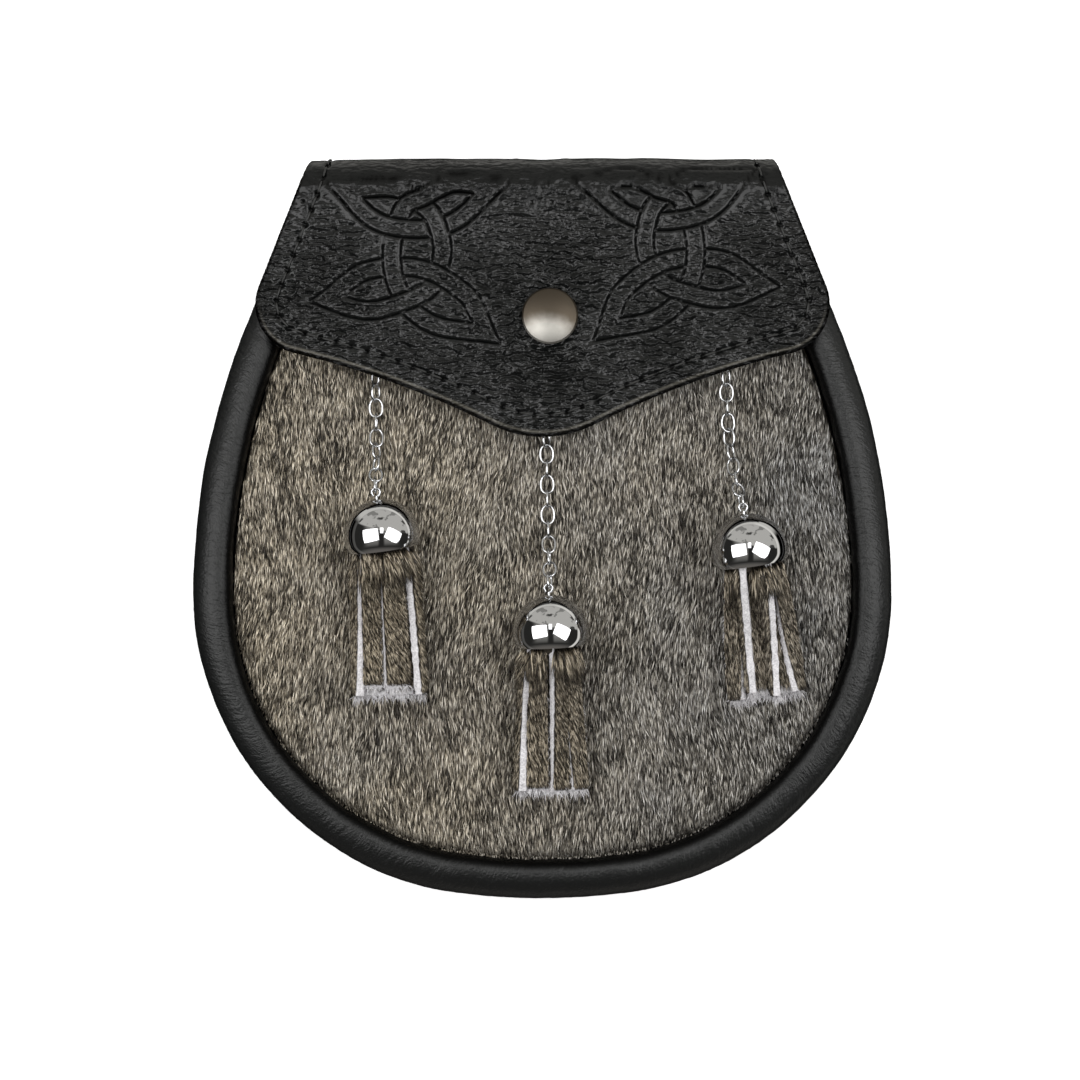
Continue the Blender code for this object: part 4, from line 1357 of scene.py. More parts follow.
@dataclass
class FurPanel:
    """Front panel of short-haired hide."""

    form: PouchForm
    flap: "Flap"
    thick: float = 4.0
    top_y: float = 88.0
    skin_depth: float = 2.4
    hidden: float = 7.0

    def inset(self) -> float:
        """How far in from the outline the panel ends."""
        return self.form.rim_width + GAP

    def pelt(self) -> Shape:
        """The hide itself, below the hair, turned down along the rim."""
        shares = edged_shares(150.0, 1.6, both_ends=True)
        plan = self.form.patch(self.inset(), self.top_y, shares, shares)
        top = self.form.fur_top(plan[..., 0], plan[..., 1])
        upper = np.concatenate([plan, (top - self.skin_depth)[..., None]], axis=2)
        lower = np.concatenate([plan, (top - self.thick)[..., None]], axis=2)[::4, ::4]
        return slab(upper, lower, 4)

    def hair(self, kind: CoatKind) -> Shape:
        """Hair of one kind over the part of the hide that shows.

        Formula: roots on a jittered lattice; the coat flows down the panel and wanders with soft
        noise, and each hair turns and rises a little by chance. Near the rim a hair is cut to end
        inside it.
        """
        coat = kind.value
        chance = np.random.default_rng(coat.seed)
        reach_x, reach_y = self.form.half_width, self.form.half_height
        columns = np.arange(-reach_x, reach_x, coat.pitch)
        x, y = np.meshgrid(columns, np.arange(-reach_y, 70, coat.pitch))
        x = (x + chance.uniform(-0.5, 0.5, x.shape) * coat.pitch).ravel()
        y = (y + chance.uniform(-0.5, 0.5, y.shape) * coat.pitch).ravel()
        inside = np.abs(x) < self.form.half_width_at(y, self.inset() - 0.1)
        inside &= y < self.flap.lower_y(x) + self.hidden
        x, y = x[inside], y[inside]
        count = len(x)
        roots = np.stack([x, y, self.form.fur_top(x, y) - self.skin_depth - 0.1], axis=1)
        slope_x = self.form.fur_top(x + 0.5, y) - self.form.fur_top(x - 0.5, y)
        slope_y = self.form.fur_top(x, y + 0.5) - self.form.fur_top(x, y - 0.5)
        normal = unit(np.stack([-slope_x, -slope_y, np.ones(count)], axis=1))
        turn = 0.16 * smooth_noise(x, y, 26.0, 1.0) + 0.12 * smooth_noise(x, y, 7.0, 2.0)
        turn += chance.normal(0.0, 0.15, count)
        rise = coat.rise + 0.10 * smooth_noise(x, y, 6.0, 4.0) + chance.normal(0.0, 0.08, count)
        along, up = leaning(np.tile((0.0, -1.0, 0.0), (count, 1)), normal, turn, rise)
        length = coat.length * chance.uniform(0.7, 1.2, count)
        for _ in range(4):
            tip = roots + along * length[:, None]
            over = np.abs(tip[:, 0]) > self.form.half_width_at(tip[:, 1], self.inset() - 0.2)
            over |= tip[:, 1] < -self.form.half_height + self.inset() - 0.2
            length = np.where(over, length * 0.75, length)
        width = coat.width * chance.uniform(0.75, 1.2, count)
        bow = coat.bow * length / coat.length
        tone = chance.uniform(0, 1, count) + 0.18 * smooth_noise(x, y, 5.0, 6.0)
        tone = np.clip(tone, 0.01, 0.99)
        return hairs(roots, along, up, length, width, bow, tone)

    def build(self) -> None:
        """Makes and dresses the hide and its hair."""
        self.pelt().place("fur_pelt", DarkPelt().material(), "fur_hide", ["fur_panel"], 60)
        under = BandedHair("banded grey hair, under", middle="#b2aca0", pale="#ded9cf").material()
        guard = BandedHair().material()
        self.hair(CoatKind.UNDER).place("fur_under_hair", under, "fur_hide")
        self.hair(CoatKind.GUARD).place("fur_guard_hair", guard, "fur_hide")


# ---------------------------------------------------------------- flap


class Strand(Enum):
    """The four strands of the interlaced knot, each from one leaf's tip to the next."""

    TOP = "top"
    LEFT = "left"
    BOTTOM = "bottom"
    RIGHT = "right"


@dataclass
class Knot:
    """Traditional knot of two interlaced leaves above and two below: a band between two grooves.

    Points are charted on squares of 2.718 mm about the knot's middle.
    """

    square: float = 2.718
    band: float = 1.80
    mitre_reach: float = 4.2
    tips: dict[str, tuple[float, float]] = field(
        default_factory=lambda: {
            "upper left": (-7.0, 6.4),
            "upper right": (7.7, 6.6),
            "lower right": (7.1, -7.95),
            "lower left": (-8.7, -4.5),
        }
    )

    def strands(self) -> dict[Strand, Array]:
        """Middle line of each strand as a smooth curve through its charted points."""
        ul, ur, lr, ll = self.tips.values()
        left = [(4.3, 7.1), (2.5, 6.55), (0.95, 5.7), (-1.1, 4.6), (-2.2, 1.25), (-2.2, -1.6)]
        left += [(-1.5, -3.8), (-0.3, -5.6), (2.4, -7.3)]
        bottom = [(5.8, -4.9), (4.3, -3.4), (1.8, -1.9), (-1.1, -1.3), (-5.2, -1.85)]
        right = [(-6.5, -5.35), (-4.5, -5.65), (-2.5, -5.3), (0.7, -4.05), (2.0, -2.6)]
        right += [(2.75, 0.2), (2.25, 2.8), (1.4, 4.3), (-0.5, 5.8), (-2.4, 6.6)]
        charted = {
            Strand.TOP: [ul, (-4.6, 3.8), (-2.1, 2.7), (1.5, 2.55), (4.5, 3.55), ur],
            Strand.LEFT: [ur, *left, lr],
            Strand.BOTTOM: [lr, *bottom, ll],
            Strand.RIGHT: [ll, *right, ul],
        }
        return {strand: spline(np.array(points), 30) for strand, points in charted.items()}

    def grooves(self) -> Array:
        """Sample points of all groove lines, in millimetres about the knot's middle.

        Formula: each strand's middle line, carried on straight past its tips, is moved sideways by
        half the band. At a tip only what is on the strand's side of the leaf's axis is kept (a
        mitre), and at a crossing the under strand's lines stop inside the band of the over strand.
        """
        middles = self.strands()
        ring = list(Strand)
        kept = {}
        for n, strand in enumerate(ring):
            line = middles[strand]
            start, end = unit(line[0] - line[1]), unit(line[-1] - line[-2])
            more = np.linspace(self.mitre_reach, 0.05, 60)[:, None]
            long_line = np.vstack([line[0] + more * start, line, line[-1] + more[::-1] * end])
            way = unit(np.gradient(long_line, axis=0))
            normal = np.stack([-way[:, 1], way[:, 0]], axis=1)
            aside = normal * self.band / 2
            lines = np.vstack([long_line + aside, long_line - aside])
            for tip, into, other in (
                (line[0], -start, middles[ring[n - 1]][-2] - line[0]),
                (line[-1], -end, middles[ring[(n + 1) % 4]][1] - line[-1]),
            ):
                axis = unit(into + unit(other))
                own = axis[0] * into[1] - axis[1] * into[0]
                reach = lines - tip
                here = axis[0] * reach[:, 1] - axis[1] * reach[:, 0]
                near = np.linalg.norm(reach, axis=1) < self.mitre_reach
                lines = lines[~near | (here * own > 0)]
            kept[strand] = lines
        crossings = (
            (Strand.LEFT, Strand.RIGHT, (0.0, 5.0)),
            (Strand.TOP, Strand.LEFT, (-2.0, 2.6)),
            (Strand.RIGHT, Strand.TOP, (2.3, 2.6)),
            (Strand.LEFT, Strand.BOTTOM, (-2.2, -1.4)),
            (Strand.BOTTOM, Strand.RIGHT, (2.3, -2.1)),
            (Strand.RIGHT, Strand.LEFT, (-0.9, -4.8)),
        )
        for over, under, place in crossings:
            lines = kept[under]
            near = np.linalg.norm(lines - np.array(place), axis=1) < 2.4
            beside, _ = nearest(lines, middles[over])
            kept[under] = lines[~(near & (beside < self.band / 2 + 0.05))]
        return np.vstack(list(kept.values())) * self.square


@dataclass
class Flap:
    """Pebbled leather flap: its front, its fold over the mouth and its tail down the back."""

    form: PouchForm
    thick: float = 2.2
    tip_y: float = 24.6
    tip_arc: float = 31.0
    hollow_arc: float = 250.0
    steep: float = math.radians(26.6)
    shallow: float = math.radians(13.5)
    clear: float = 0.4
    crown: float = 3.0
    front_bend: float = 8.0
    back_bend: float = 5.0
    tail_y: float = 78.0
    grid_pitch: float = 0.425
    seam_inset: float = 5.7
    stitch_pitch: float = 4.4
    seam_over_fold: float = 16.0
    knot_left: tuple[float, float] = (-34.6, 74.2)
    knot_right: tuple[float, float] = (35.2, 76.4)
    knot_right_turn: float = math.radians(3.7)
    groove_depth: float = 0.45
    groove_half: float = 0.28
    waves: tuple[float, float] = (0.22, 0.14)
    swell: float = 0.15
    channel_depth: float = 0.20
    channel_half: float = 0.9
    hole_depth: float = 0.8
    hole_half: tuple[float, float] = (0.8, 0.55)
    hole_slant: float = math.radians(38.0)
    lip: float = 0.08
    stitch_length: float = 3.3
    stitch_sunk: float = 0.12
    thread: float = 0.30

    def middle(self, x: Array, y: Array) -> Array:
        """Middle of the leather over the front: clear of the rim, and crowned over the fur."""
        across = x / self.form.straight_width(y)
        return self.form.crest(y) + self.clear + self.crown * (1 - across**2) + self.thick / 2

    def edge(self, t: Array) -> Array:
        """Points of the lower edge.

        Formula: tip arc, hollow arc and corner arc, one for each unit of t, each tangent to the
        next and the last to the straight side; mirrored where t is negative.
        """
        side, t = np.where(t < 0, -1.0, 1.0), np.abs(t)
        turn = np.minimum(t, 1.0) * self.steep
        x = self.tip_arc * np.sin(turn)
        y = self.tip_y + self.tip_arc - self.tip_arc * np.cos(turn)
        turn = self.steep + (self.shallow - self.steep) * np.clip(t - 1, 0, 1)
        x = x + self.hollow_arc * (math.sin(self.steep) - np.sin(turn))
        y = y - self.hollow_arc * (math.cos(self.steep) - np.cos(turn))
        lean = self.form.side_lean
        out = (math.cos(lean), math.sin(lean))
        into = (-math.sin(self.shallow), math.cos(self.shallow))
        last_x = self.tip_arc * math.sin(self.steep)
        last_x += self.hollow_arc * (math.sin(self.steep) - math.sin(self.shallow))
        last_y = self.tip_y + self.tip_arc * (1 - math.cos(self.steep))
        last_y -= self.hollow_arc * (math.cos(self.steep) - math.cos(self.shallow))
        straight = self.form.straight_from()
        room = out[0] * (straight[0] - last_x) + out[1] * (straight[1] - last_y)
        radius = room / (1 + out[0] * into[0] + out[1] * into[1])
        turn = self.shallow + (math.pi / 2 + lean - self.shallow) * np.clip(t - 2, 0, 1)
        x = x + np.where(t > 2, radius * (into[0] + np.sin(turn)), 0.0)
        y = y + np.where(t > 2, radius * (into[1] - np.cos(turn)), 0.0)
        return np.stack([side * x, y], axis=-1)

    def lower_y(self, x: Array) -> Array:
        """Height of the lower edge at each sideways place."""
        line = self.edge(np.linspace(-2.5, 2.5, 600))
        return np.interp(x, line[:, 0], line[:, 1])

    def fold_line(self) -> tuple[Array, Array, Array]:
        """Fold and tail as seen from the side.

        Returns:
            For each row after the front: its distance past the fold line, its y, and a pair that
            gives its height: a share of the front's height at the fold, and what is added to it.
        """
        outermost = self.form.fold_y + self.front_bend
        flat_from = outermost - self.back_bend
        tail = self.thick / 2
        turn = np.linspace(0, np.pi / 2, 19)[1:]
        y = self.form.fold_y + self.front_bend * np.sin(turn)
        rows = [(self.front_bend * turn, y, 1 + 0 * turn, self.front_bend * (np.cos(turn) - 1))]
        front = self.front_bend * np.pi / 2
        drop = self.form.crest_top - self.front_bend - tail - self.back_bend
        share = np.linspace(0, 1, 9)[1:-1]
        z = -self.front_bend * (1 - share) + (tail + self.back_bend) * share
        rows.append((front + drop * share, outermost + 0 * share, 1 - share, z))
        turn = np.linspace(0, np.pi / 2, 13)
        y = outermost - self.back_bend * (1 - np.cos(turn))
        z = tail + self.back_bend * (1 - np.sin(turn))
        rows.append((front + drop + self.back_bend * turn, y, 0 * turn, z))
        after = front + drop + self.back_bend * np.pi / 2
        length = flat_from - self.tail_y
        share = 1 - edged_shares(length, 1.0, both_ends=False)[::-1][1:]
        y = flat_from - length * share
        rows.append((after + length * share, y, 0 * share, tail + 0 * share))
        rows = np.hstack(rows).T
        # The underside takes every fourth row, so the count is brought to a multiple of four.
        spare = len(rows) % 4
        rows = np.delete(rows, np.arange(2, 2 + 2 * spare, 2), axis=0)
        return rows[:, 0], rows[:, 1], rows[:, 2:]

    def surface(self) -> tuple[Array, Array]:
        """Middle surface of the whole flap.

        Returns:
            Points as (row, column, coordinate), and the pattern plane: (x, distance up the leather)
            pairs.
        """
        corner = 2.5
        fold_end = (self.form.straight_width(self.form.fold_y), self.form.fold_y)
        right = np.vstack([self.edge(np.linspace(corner, 3, 60)), fold_end])
        bottom = self.edge(np.linspace(-corner, corner, 3000))
        columns = edged_shares(running_length(bottom)[-1], self.grid_pitch, both_ends=True)
        rows = edged_shares(72.0, self.grid_pitch, both_ends=False)
        right = resampled(right, rows)
        bottom = resampled(bottom, columns)
        top_x = (2 * columns - 1) * right[-1, 0]
        top = np.stack([top_x, np.full(len(columns), self.form.fold_y)], axis=1)
        plan = coons(right * (-1, 1), right, bottom, top, columns, rows)
        front = np.concatenate([plan, self.middle(plan[..., 0], plan[..., 1])[..., None]], axis=2)
        past, y, heights = self.fold_line()
        share = top[:, 0] / self.form.straight_width(self.form.fold_y)
        x = share[None] * self.form.straight_width(y)[:, None]
        z = heights[:, :1] * front[-1, :, 2][None] + heights[:, 1:]
        fold = np.stack([x, y[:, None] + 0 * x, z], axis=2)
        pattern = np.stack([x, self.form.fold_y + past[:, None] + 0 * x], axis=2)
        return np.concatenate([front, fold]), np.concatenate([plan, pattern])

    def outline(self) -> Array:
        """Border of the leather in the pattern plane: up the fold's sides, round the lower edge."""
        past, y, _ = self.fold_line()
        right = np.stack([self.form.straight_width(y), self.form.fold_y + past], axis=1)
        lower = self.edge(np.linspace(0, 3, 700))
        start = np.array([[self.form.straight_width(self.form.fold_y), self.form.fold_y]])
        half = np.vstack([lower, start, right, [(0.0, right[-1, 1])]])
        half = resampled(half, np.linspace(0, 1, 900))
        return np.vstack([half[::-1] * (-1, 1), half[1:]])

    def seam(self) -> Array:
        """Line of the stitches in the pattern plane, an even distance inside the border."""
        line = self.outline()
        line = line[line[:, 1] < self.form.fold_y + self.seam_over_fold]
        way = unit(np.gradient(line, axis=0))
        return line + self.seam_inset * np.stack([-way[:, 1], way[:, 0]], axis=1)

    def knots(self) -> Array:
        """Groove points of both knots in the pattern plane, the right one mirrored and turned."""
        left = Knot().grooves()
        cos, sin = math.cos(self.knot_right_turn), math.sin(self.knot_right_turn)
        right = (left * (-1, 1)) @ np.array([(cos, sin), (-sin, cos)])
        return np.vstack([left + self.knot_left, right + self.knot_right])

    def lifted(self, pattern: Array, above: float) -> tuple[Array, Array]:
        """Points over the leather's upper side.

        Formula: on the front the height of the middle surface; past the fold line round the front
        bend, then straight down.

        Args:
            pattern: (x, distance up the leather) pairs.
            above: height over the leather.

        Returns:
            Points, and unit normals of the leather.
        """
        x, s = pattern.T
        past = np.clip(s - self.form.fold_y, 0, None)
        turn = np.minimum(past / self.front_bend, np.pi / 2)
        down = past - turn * self.front_bend
        y = np.minimum(s, self.form.fold_y)
        tilt_x = (self.middle(x + 0.5, y) - self.middle(x - 0.5, y)) * np.cos(turn)
        tilt_y = (self.middle(x, y + 0.5) - self.middle(x, y - 0.5)) * (past == 0)
        normal = unit(np.stack([-tilt_x, np.sin(turn) - tilt_y, np.cos(turn)], axis=1))
        height = self.middle(x, y) - self.front_bend * (1 - np.cos(turn)) - down
        base = np.stack([x, y + self.front_bend * np.sin(turn), height], axis=1)
        return base + normal * (self.thick / 2 + above), normal

    def holes(self) -> tuple[Array, Array]:
        """Needle holes between the stitches, in the pattern plane, and each slit's direction."""
        seam = self.seam()
        count = round(running_length(seam)[-1] / self.stitch_pitch)
        places = resampled(seam, np.arange(count + 1) / count)
        x, y = unit(np.gradient(places, axis=0)).T
        cos, sin = math.cos(self.hole_slant), math.sin(self.hole_slant)
        return places, np.stack([x * cos - y * sin, x * sin + y * cos], axis=1)

    def drawn_to(self, lines: Array, grid: Array, pattern: Array) -> tuple[Array, Array]:
        """Grid whose points next to a line are moved on to it, so that a groove there stays sharp.

        Formula: a point of the front nearer to a line sample than 0.55 of the grid's pitch takes
        the sample's place, and its height is worked out again.

        Args:
            lines: samples of the lines in the pattern plane.
            grid: middle surface of the flap.
            pattern: the same points in the pattern plane.

        Returns:
            Both grids, moved.
        """
        away, which = nearest(pattern.reshape(-1, 2), lines)
        near = (away < 0.55 * self.grid_pitch) & (pattern[..., 1].ravel() < self.form.fold_y - 0.5)
        flat, points = pattern.reshape(-1, 2).copy(), grid.reshape(-1, 3).copy()
        flat[near] = lines[which[near]]
        points[near, :2] = flat[near]
        points[near, 2] = self.middle(flat[near, 0], flat[near, 1])
        return points.reshape(grid.shape), flat.reshape(pattern.shape)

    def leather(self) -> Shape:
        """The whole flap.

        Formula: the middle surface with a rounded cut edge and a relief: grooves of the knots with
        a slight swell beside them, a seam channel, slit holes, a raised lip, and soft waves of the
        leather.
        """
        grid, pattern = self.surface()
        size = grid.shape[:2]
        border = nearest(pattern.reshape(-1, 2), self.outline())[0].reshape(size)
        grid, pattern = self.drawn_to(self.knots(), grid, pattern)
        flat = pattern.reshape(-1, 2)
        to_groove = nearest(flat, self.knots())[0].reshape(size)
        to_seam = nearest(flat, resampled(self.seam(), np.linspace(0, 1, 700)))[0].reshape(size)
        places, slits = self.holes()
        _, which = nearest(flat, places)
        reach = flat - places[which]
        way_x, way_y = slits[which].T
        along = np.sum(reach * slits[which], axis=1) / self.hole_half[0]
        across = (reach[:, 0] * way_y - reach[:, 1] * way_x) / self.hole_half[1]
        hole = np.exp(-(along**4) - across**2).reshape(size)
        groove = ridge(to_groove, self.groove_half)
        swell = ridge(to_groove, 0.45, 0.85)
        channel = ridge(to_seam, self.channel_half)
        x, s = pattern[..., 0], pattern[..., 1]
        waves = self.waves[0] * smooth_noise(x, s * 1.3, 15.0, 1.0)
        waves += self.waves[1] * smooth_noise(x, s * 1.8, 5.5, 2.0)
        cut = 1 - smooth_step((border - 0.7) / 0.3)
        # A raised lip by the edge; its value also paints a grey highlight line on it.
        lip = ridge(border, 0.30, 1.25) * smooth_step((62.0 - s) / 14.0)
        relief = waves - self.groove_depth * groove + self.swell * swell
        relief = relief - self.channel_depth * channel - self.hole_depth * hole + self.lip * lip
        flattened = 0.75 * smooth_step((s - 70.0) / 21.0) + 0.5 * ridge(to_seam, 1.5)
        # Painted shade over the fold: darker and less glossy where the leather turns over the
        # mouth.
        dull_fold_shade = 0.35 * smooth_step((s - 82.0) / 12.0)
        # Values for the material: pressed paints shade (with edge paint at the cut edge), lip a
        # highlight.
        values = {
            "pressed": np.clip(0.75 * groove + hole + 0.08 * channel + cut + dull_fold_shade, 0, 1),
            "calm": np.clip(ridge(to_groove, 1.3) + hole + flattened, 0, 1),
            "lip": 0.9 * lip,
        }
        return leather_sheet(grid, self.thick, border, relief, 1.0, 4, values)

    def stitches(self) -> Shape:
        """Thread of the seam, sunk in its channel."""
        middles, along = stitch_places(self.seam(), self.stitch_pitch)
        points, normal = self.lifted(middles, -self.stitch_sunk)
        ahead, _ = self.lifted(middles + along * 0.5, -self.stitch_sunk)
        way = unit(ahead - points)
        return laid_stitches(points, way, normal, self.stitch_length, self.thread)

    def build(self) -> None:
        """Makes and dresses the flap and its stitches."""
        cowhide, thread = CrinkledCowhide().material(), WaxedThread().material()
        self.leather().place("flap_leather", cowhide, "flap_leather", ["flap"], 50)
        self.stitches().place("flap_stitches", thread, "flap_leather")


# ---------------------------------------------------------------- press stud


@dataclass
class PressStud:
    """Domed cap of the press stud on the flap."""

    flap: Flap
    x: float = 2.0
    y: float = 57.3
    radius: float = 7.65
    height: float = 2.6
    shoulder: float = 0.9
    sides: int = 96

    def frame(self) -> tuple[Array, Array]:
        """Foot of the cap on the flap, and axes (rows) with Y out of the leather."""
        flap = self.flap
        place = np.array([self.x, self.y])
        low, high = (flap.middle(self.x, self.y + d) for d in (-1.0, 1.0))
        slope = math.atan((high - low) / 2)
        up = np.array([0.0, -math.sin(slope), math.cos(slope)])
        foot = np.array([*place, flap.middle(self.x, self.y) + flap.thick / 2 + GAP])
        return foot, np.array([(1.0, 0.0, 0.0), up, np.cross((1.0, 0.0, 0.0), up)])

    def cap(self) -> Shape:
        """Domed cap with a rolled rim: a quarter-round shoulder, then a shallow spherical dome."""
        rise = self.height - self.shoulder
        ball = (self.radius**2 + rise**2) / (2 * rise)
        turn = np.linspace(-np.pi / 2, np.pi / 2, 10)
        roll = self.shoulder / 2
        rim_x = self.radius - roll + roll * np.cos(turn)
        rim = np.stack([rim_x, roll + roll * np.sin(turn)], axis=1)
        reach = np.linspace(0.97, 0.04, 26) * self.radius
        dome = np.stack([reach, self.height - ball + np.sqrt(ball**2 - reach**2)], axis=1)
        profile = np.vstack([[(self.radius * 0.5, 0.0)], rim, dome])
        return turned(profile, self.sides, ends=np.array([0.0, self.height]))

    def build(self, frame: dict) -> None:
        """Makes the cap, and dresses the post under the flap."""
        metal = AntiqueNickel().material()
        turned_to(self.cap(), *self.frame()).place("snap_dome", metal, "snap_metal", ["snap_cap"])
        dress(frame, "snap_socket", metal)


def dress(frame: dict, node: str, material: bpy.types.Material) -> None:
    """Gives a CAD node that stays its finish."""
    obj = frame["nodes"][node]
    obj.data.materials.clear()
    obj.data.materials.append(material)
    LOG.info("%s: CAD node with a new finish", node)


# ---------------------------------------------------------------- tassels and chains


class Side(Enum):
    """Places of the three tassels."""

    LEFT = "left"
    MIDDLE = "middle"
    RIGHT = "right"


@dataclass(frozen=True)
class Strip:
    """One strip of a tassel: its sideways place, rise, width and roll at the cap and at its end.

    The last field is how much sooner than the others it ends.
    """

    side_cap: float
    side_end: float
    rise_cap: float
    rise_end: float
    width_cap: float
    width_end: float
    roll_cap: float
    roll_end: float
    short: float


@dataclass
class Tassel:
    """Bell cap with its wire eye, and strips of haired hide."""

    form: PouchForm
    side: Side
    x: float
    y: float
    cap_lean: float
    strip_lean: float
    reach: float
    strips: tuple[Strip, ...]
    hair_slant: float = 0.3
    bare_from: float = 99.0
    bare_to: float = -99.0
    cap_radius: float = 10.2
    cap_cut: float = 4.1
    cap_lip_up: float = 0.8
    cap_wall: float = 0.8
    cap_hole: float = 0.9
    cap_curl: float = 5.5
    cap_bend: float = math.radians(-6.0)
    cap_pitch: float = math.radians(5.0)
    eye_wire: float = 0.7
    eye_radius: float = 1.1
    stem_length: float = 5.0
    head_radius: float = 6.8
    strip_thick: float = 1.9
    strip_start: float = 1.5
    strip_drop: float = 26.0
    strip_flare: float = 0.6
    hair_pitch: float = 0.42
    bare_end: float = 3.6
    head_low: float = -5.2
    head_high: float = 3.6
    head_corner: float = 0.7
    head_clear: float = 0.3
    cap_sides: int = 96
    end_fibres: int = 120
    side_fibres: int = 80
    seed: int = 1

    def frame(self) -> tuple[Array, Array]:
        """Middle of the cap, and axes (rows) with Y out of its top."""
        height = float(self.form.fur_top(self.x, self.y)) + GAP + self.cap_radius
        lean = math.radians(self.cap_lean)
        cos, sin = math.cos(lean), math.sin(lean)
        turn = np.array([(cos, -sin, 0), (sin, cos, 0), (0, 0, 1)])
        cos, sin = math.cos(self.cap_pitch), math.sin(self.cap_pitch)
        pitch = np.array([(1, 0, 0), (0, cos, -sin), (0, sin, cos)])
        return np.array([self.x, self.y, height]), (turn @ pitch).T

    def cap(self) -> Shape:
        """Bell cap.

        Formula: a sphere from the hole down to just below its widest, then a tighter arc that curls
        the lip in; the inner wall is the same line one wall's thickness inside.
        """
        bend = self.cap_bend
        cut = self.cap_cut - self.cap_lip_up
        off = self.cap_radius - self.cap_curl
        end = -math.asin((cut - off * math.sin(-bend)) / self.cap_curl)
        centre = off * np.array([math.cos(bend), math.sin(bend)])
        walls = []
        for wall in (0.0, self.cap_wall):
            ball = self.cap_radius - wall
            turn = np.linspace(math.acos(self.cap_hole / ball), bend, 36)
            sphere = ball * np.stack([np.cos(turn), np.sin(turn)], axis=1)
            turn = np.linspace(bend, end, 14)[1:]
            curl = centre + (self.cap_curl - wall) * np.stack([np.cos(turn), np.sin(turn)], axis=1)
            walls.append(np.vstack([sphere, curl]))
        return turned(np.vstack([walls[0], walls[1][::-1]]), self.cap_sides, closed=True)

    def eye(self) -> Shape:
        """Wire eye: a stem through the cap's hole and a ring above it."""
        ring_y = self.cap_radius + GAP + self.eye_wire / 2 + self.eye_radius
        gap = math.asin((self.eye_wire + 0.1) / (2 * self.eye_radius))
        turn = np.linspace(-math.pi / 2, 1.5 * math.pi - 2 * gap, 40)
        x, y = self.eye_radius * np.cos(turn), ring_y + self.eye_radius * np.sin(turn)
        ring = np.stack([x, y, 0 * turn], axis=1)
        stem = [(0.0, self.cap_radius - self.stem_length, 0.0), (0.0, self.cap_radius, 0.0)]
        return wire(np.vstack([stem, ring]), np.array([0.0, 0.0, 1.0]), self.eye_wire / 2, 12)

    def strip_lines(self, strip: Strip, reach: Array) -> tuple[Array, Array, Array, Array]:
        """Middle line, width and two axes of a strip.

        Formula: the strip leaves the cap, drops on to the fur along a smooth step and lies on it;
        its place and width run smoothly from those at the cap to those at the end.

        Args:
            strip: the strip.
            reach: distances from the cap's middle.

        Returns:
            Middles, widths, the unit directions across the strip and those through it.
        """
        lean = math.radians(self.strip_lean)
        along = np.array([math.sin(lean), -math.cos(lean)])
        side = np.array([math.cos(lean), math.sin(lean)])
        part = np.clip((reach - self.strip_start) / (self.reach - self.strip_start), 0, 1)
        spread = part**self.strip_flare
        drop = smooth_step((reach - self.cap_cut) / self.strip_drop)
        sideways = strip.side_cap + (strip.side_end - strip.side_cap) * spread
        width = strip.width_cap + (strip.width_end - strip.width_cap) * spread
        flat = np.array([self.x, self.y]) + reach[:, None] * along + sideways[:, None] * side
        rise = (GAP + self.cap_radius + strip.rise_cap) * (1 - drop) + strip.rise_end * drop
        middle = np.column_stack([flat, self.form.fur_top(flat[:, 0], flat[:, 1]) + rise])
        roll = np.radians(strip.roll_cap + (strip.roll_end - strip.roll_cap) * part**2)
        across = np.column_stack([np.outer(np.cos(roll), side), np.sin(roll)])
        through = np.column_stack([np.outer(-np.sin(roll), side), np.cos(roll)])
        return middle, width, across, through

    def strip_places(self, strip: Strip, reach: Array) -> tuple[Array, Array, Array, Array, Array]:
        """What strip_lines gives, and the unit directions along the strip."""
        middle, width, across, through = self.strip_lines(strip, reach)
        ahead, *_ = self.strip_lines(strip, reach + 0.5)
        return middle, width, across, through, unit(ahead - middle)

    def strip_shape(self, strip: Strip, n: int) -> Shape:
        """One strip: a rectangle with soft corners along its middle line, with ragged edges."""
        reach = np.linspace(self.strip_start, self.reach - strip.short, 90)
        middle, width, across, through = self.strip_lines(strip, reach)
        flat = np.array([-1, -0.94, -0.5, 0, 0.5, 0.94, 1, 1, 0.94, 0.5, 0, -0.5, -0.94, -1])
        thin = np.array([-0.7, -1, -1, -1, -1, -1, -0.7, 0.7, 1, 1, 1, 1, 1, 0.7])
        run, round_it = reach[:, None] + 40 * n, np.sign(flat)[None] * 7
        ragged = 0.16 * smooth_noise(run, round_it, 0.9, self.seed)
        half = width[:, None] / 2 + ragged * (np.abs(flat) > 0.9)[None]
        uneven = smooth_noise(reach[:, None], flat[None] * 3 + n, 1.4, 4.0)
        thick = self.strip_thick / 2 * (1 + 0.20 * uneven)
        rings = middle[:, None] + (flat * half)[..., None] * across[:, None]
        rings += (thin * thick)[..., None] * through[:, None]
        shape = skin(rings)
        bare = self.bare_end if strip.rise_cap < 0 else 0.5
        coat = smooth_step((self.reach - strip.short - bare - reach) / 0.5)
        grain = (coat[:, None] * (thin > 0.9)[None]).ravel()
        shape.values["haired"] = np.concatenate([grain, [0.0, 0.0]])
        return shape

    def head(self) -> Shape:
        """Round head of rolled hide inside the cap."""
        low, high, soft = self.head_low, self.head_high, self.head_corner
        rim = self.head_radius - self.head_clear
        profile = [(rim - soft, high), (rim, high - soft), (rim, low + soft), (rim - soft, low)]
        shape = turned(np.array(profile), 32, ends=np.array([high, low]))
        shape = turned_to(shape, *self.frame())
        shape.values["haired"] = np.ones(len(shape.points))
        return shape

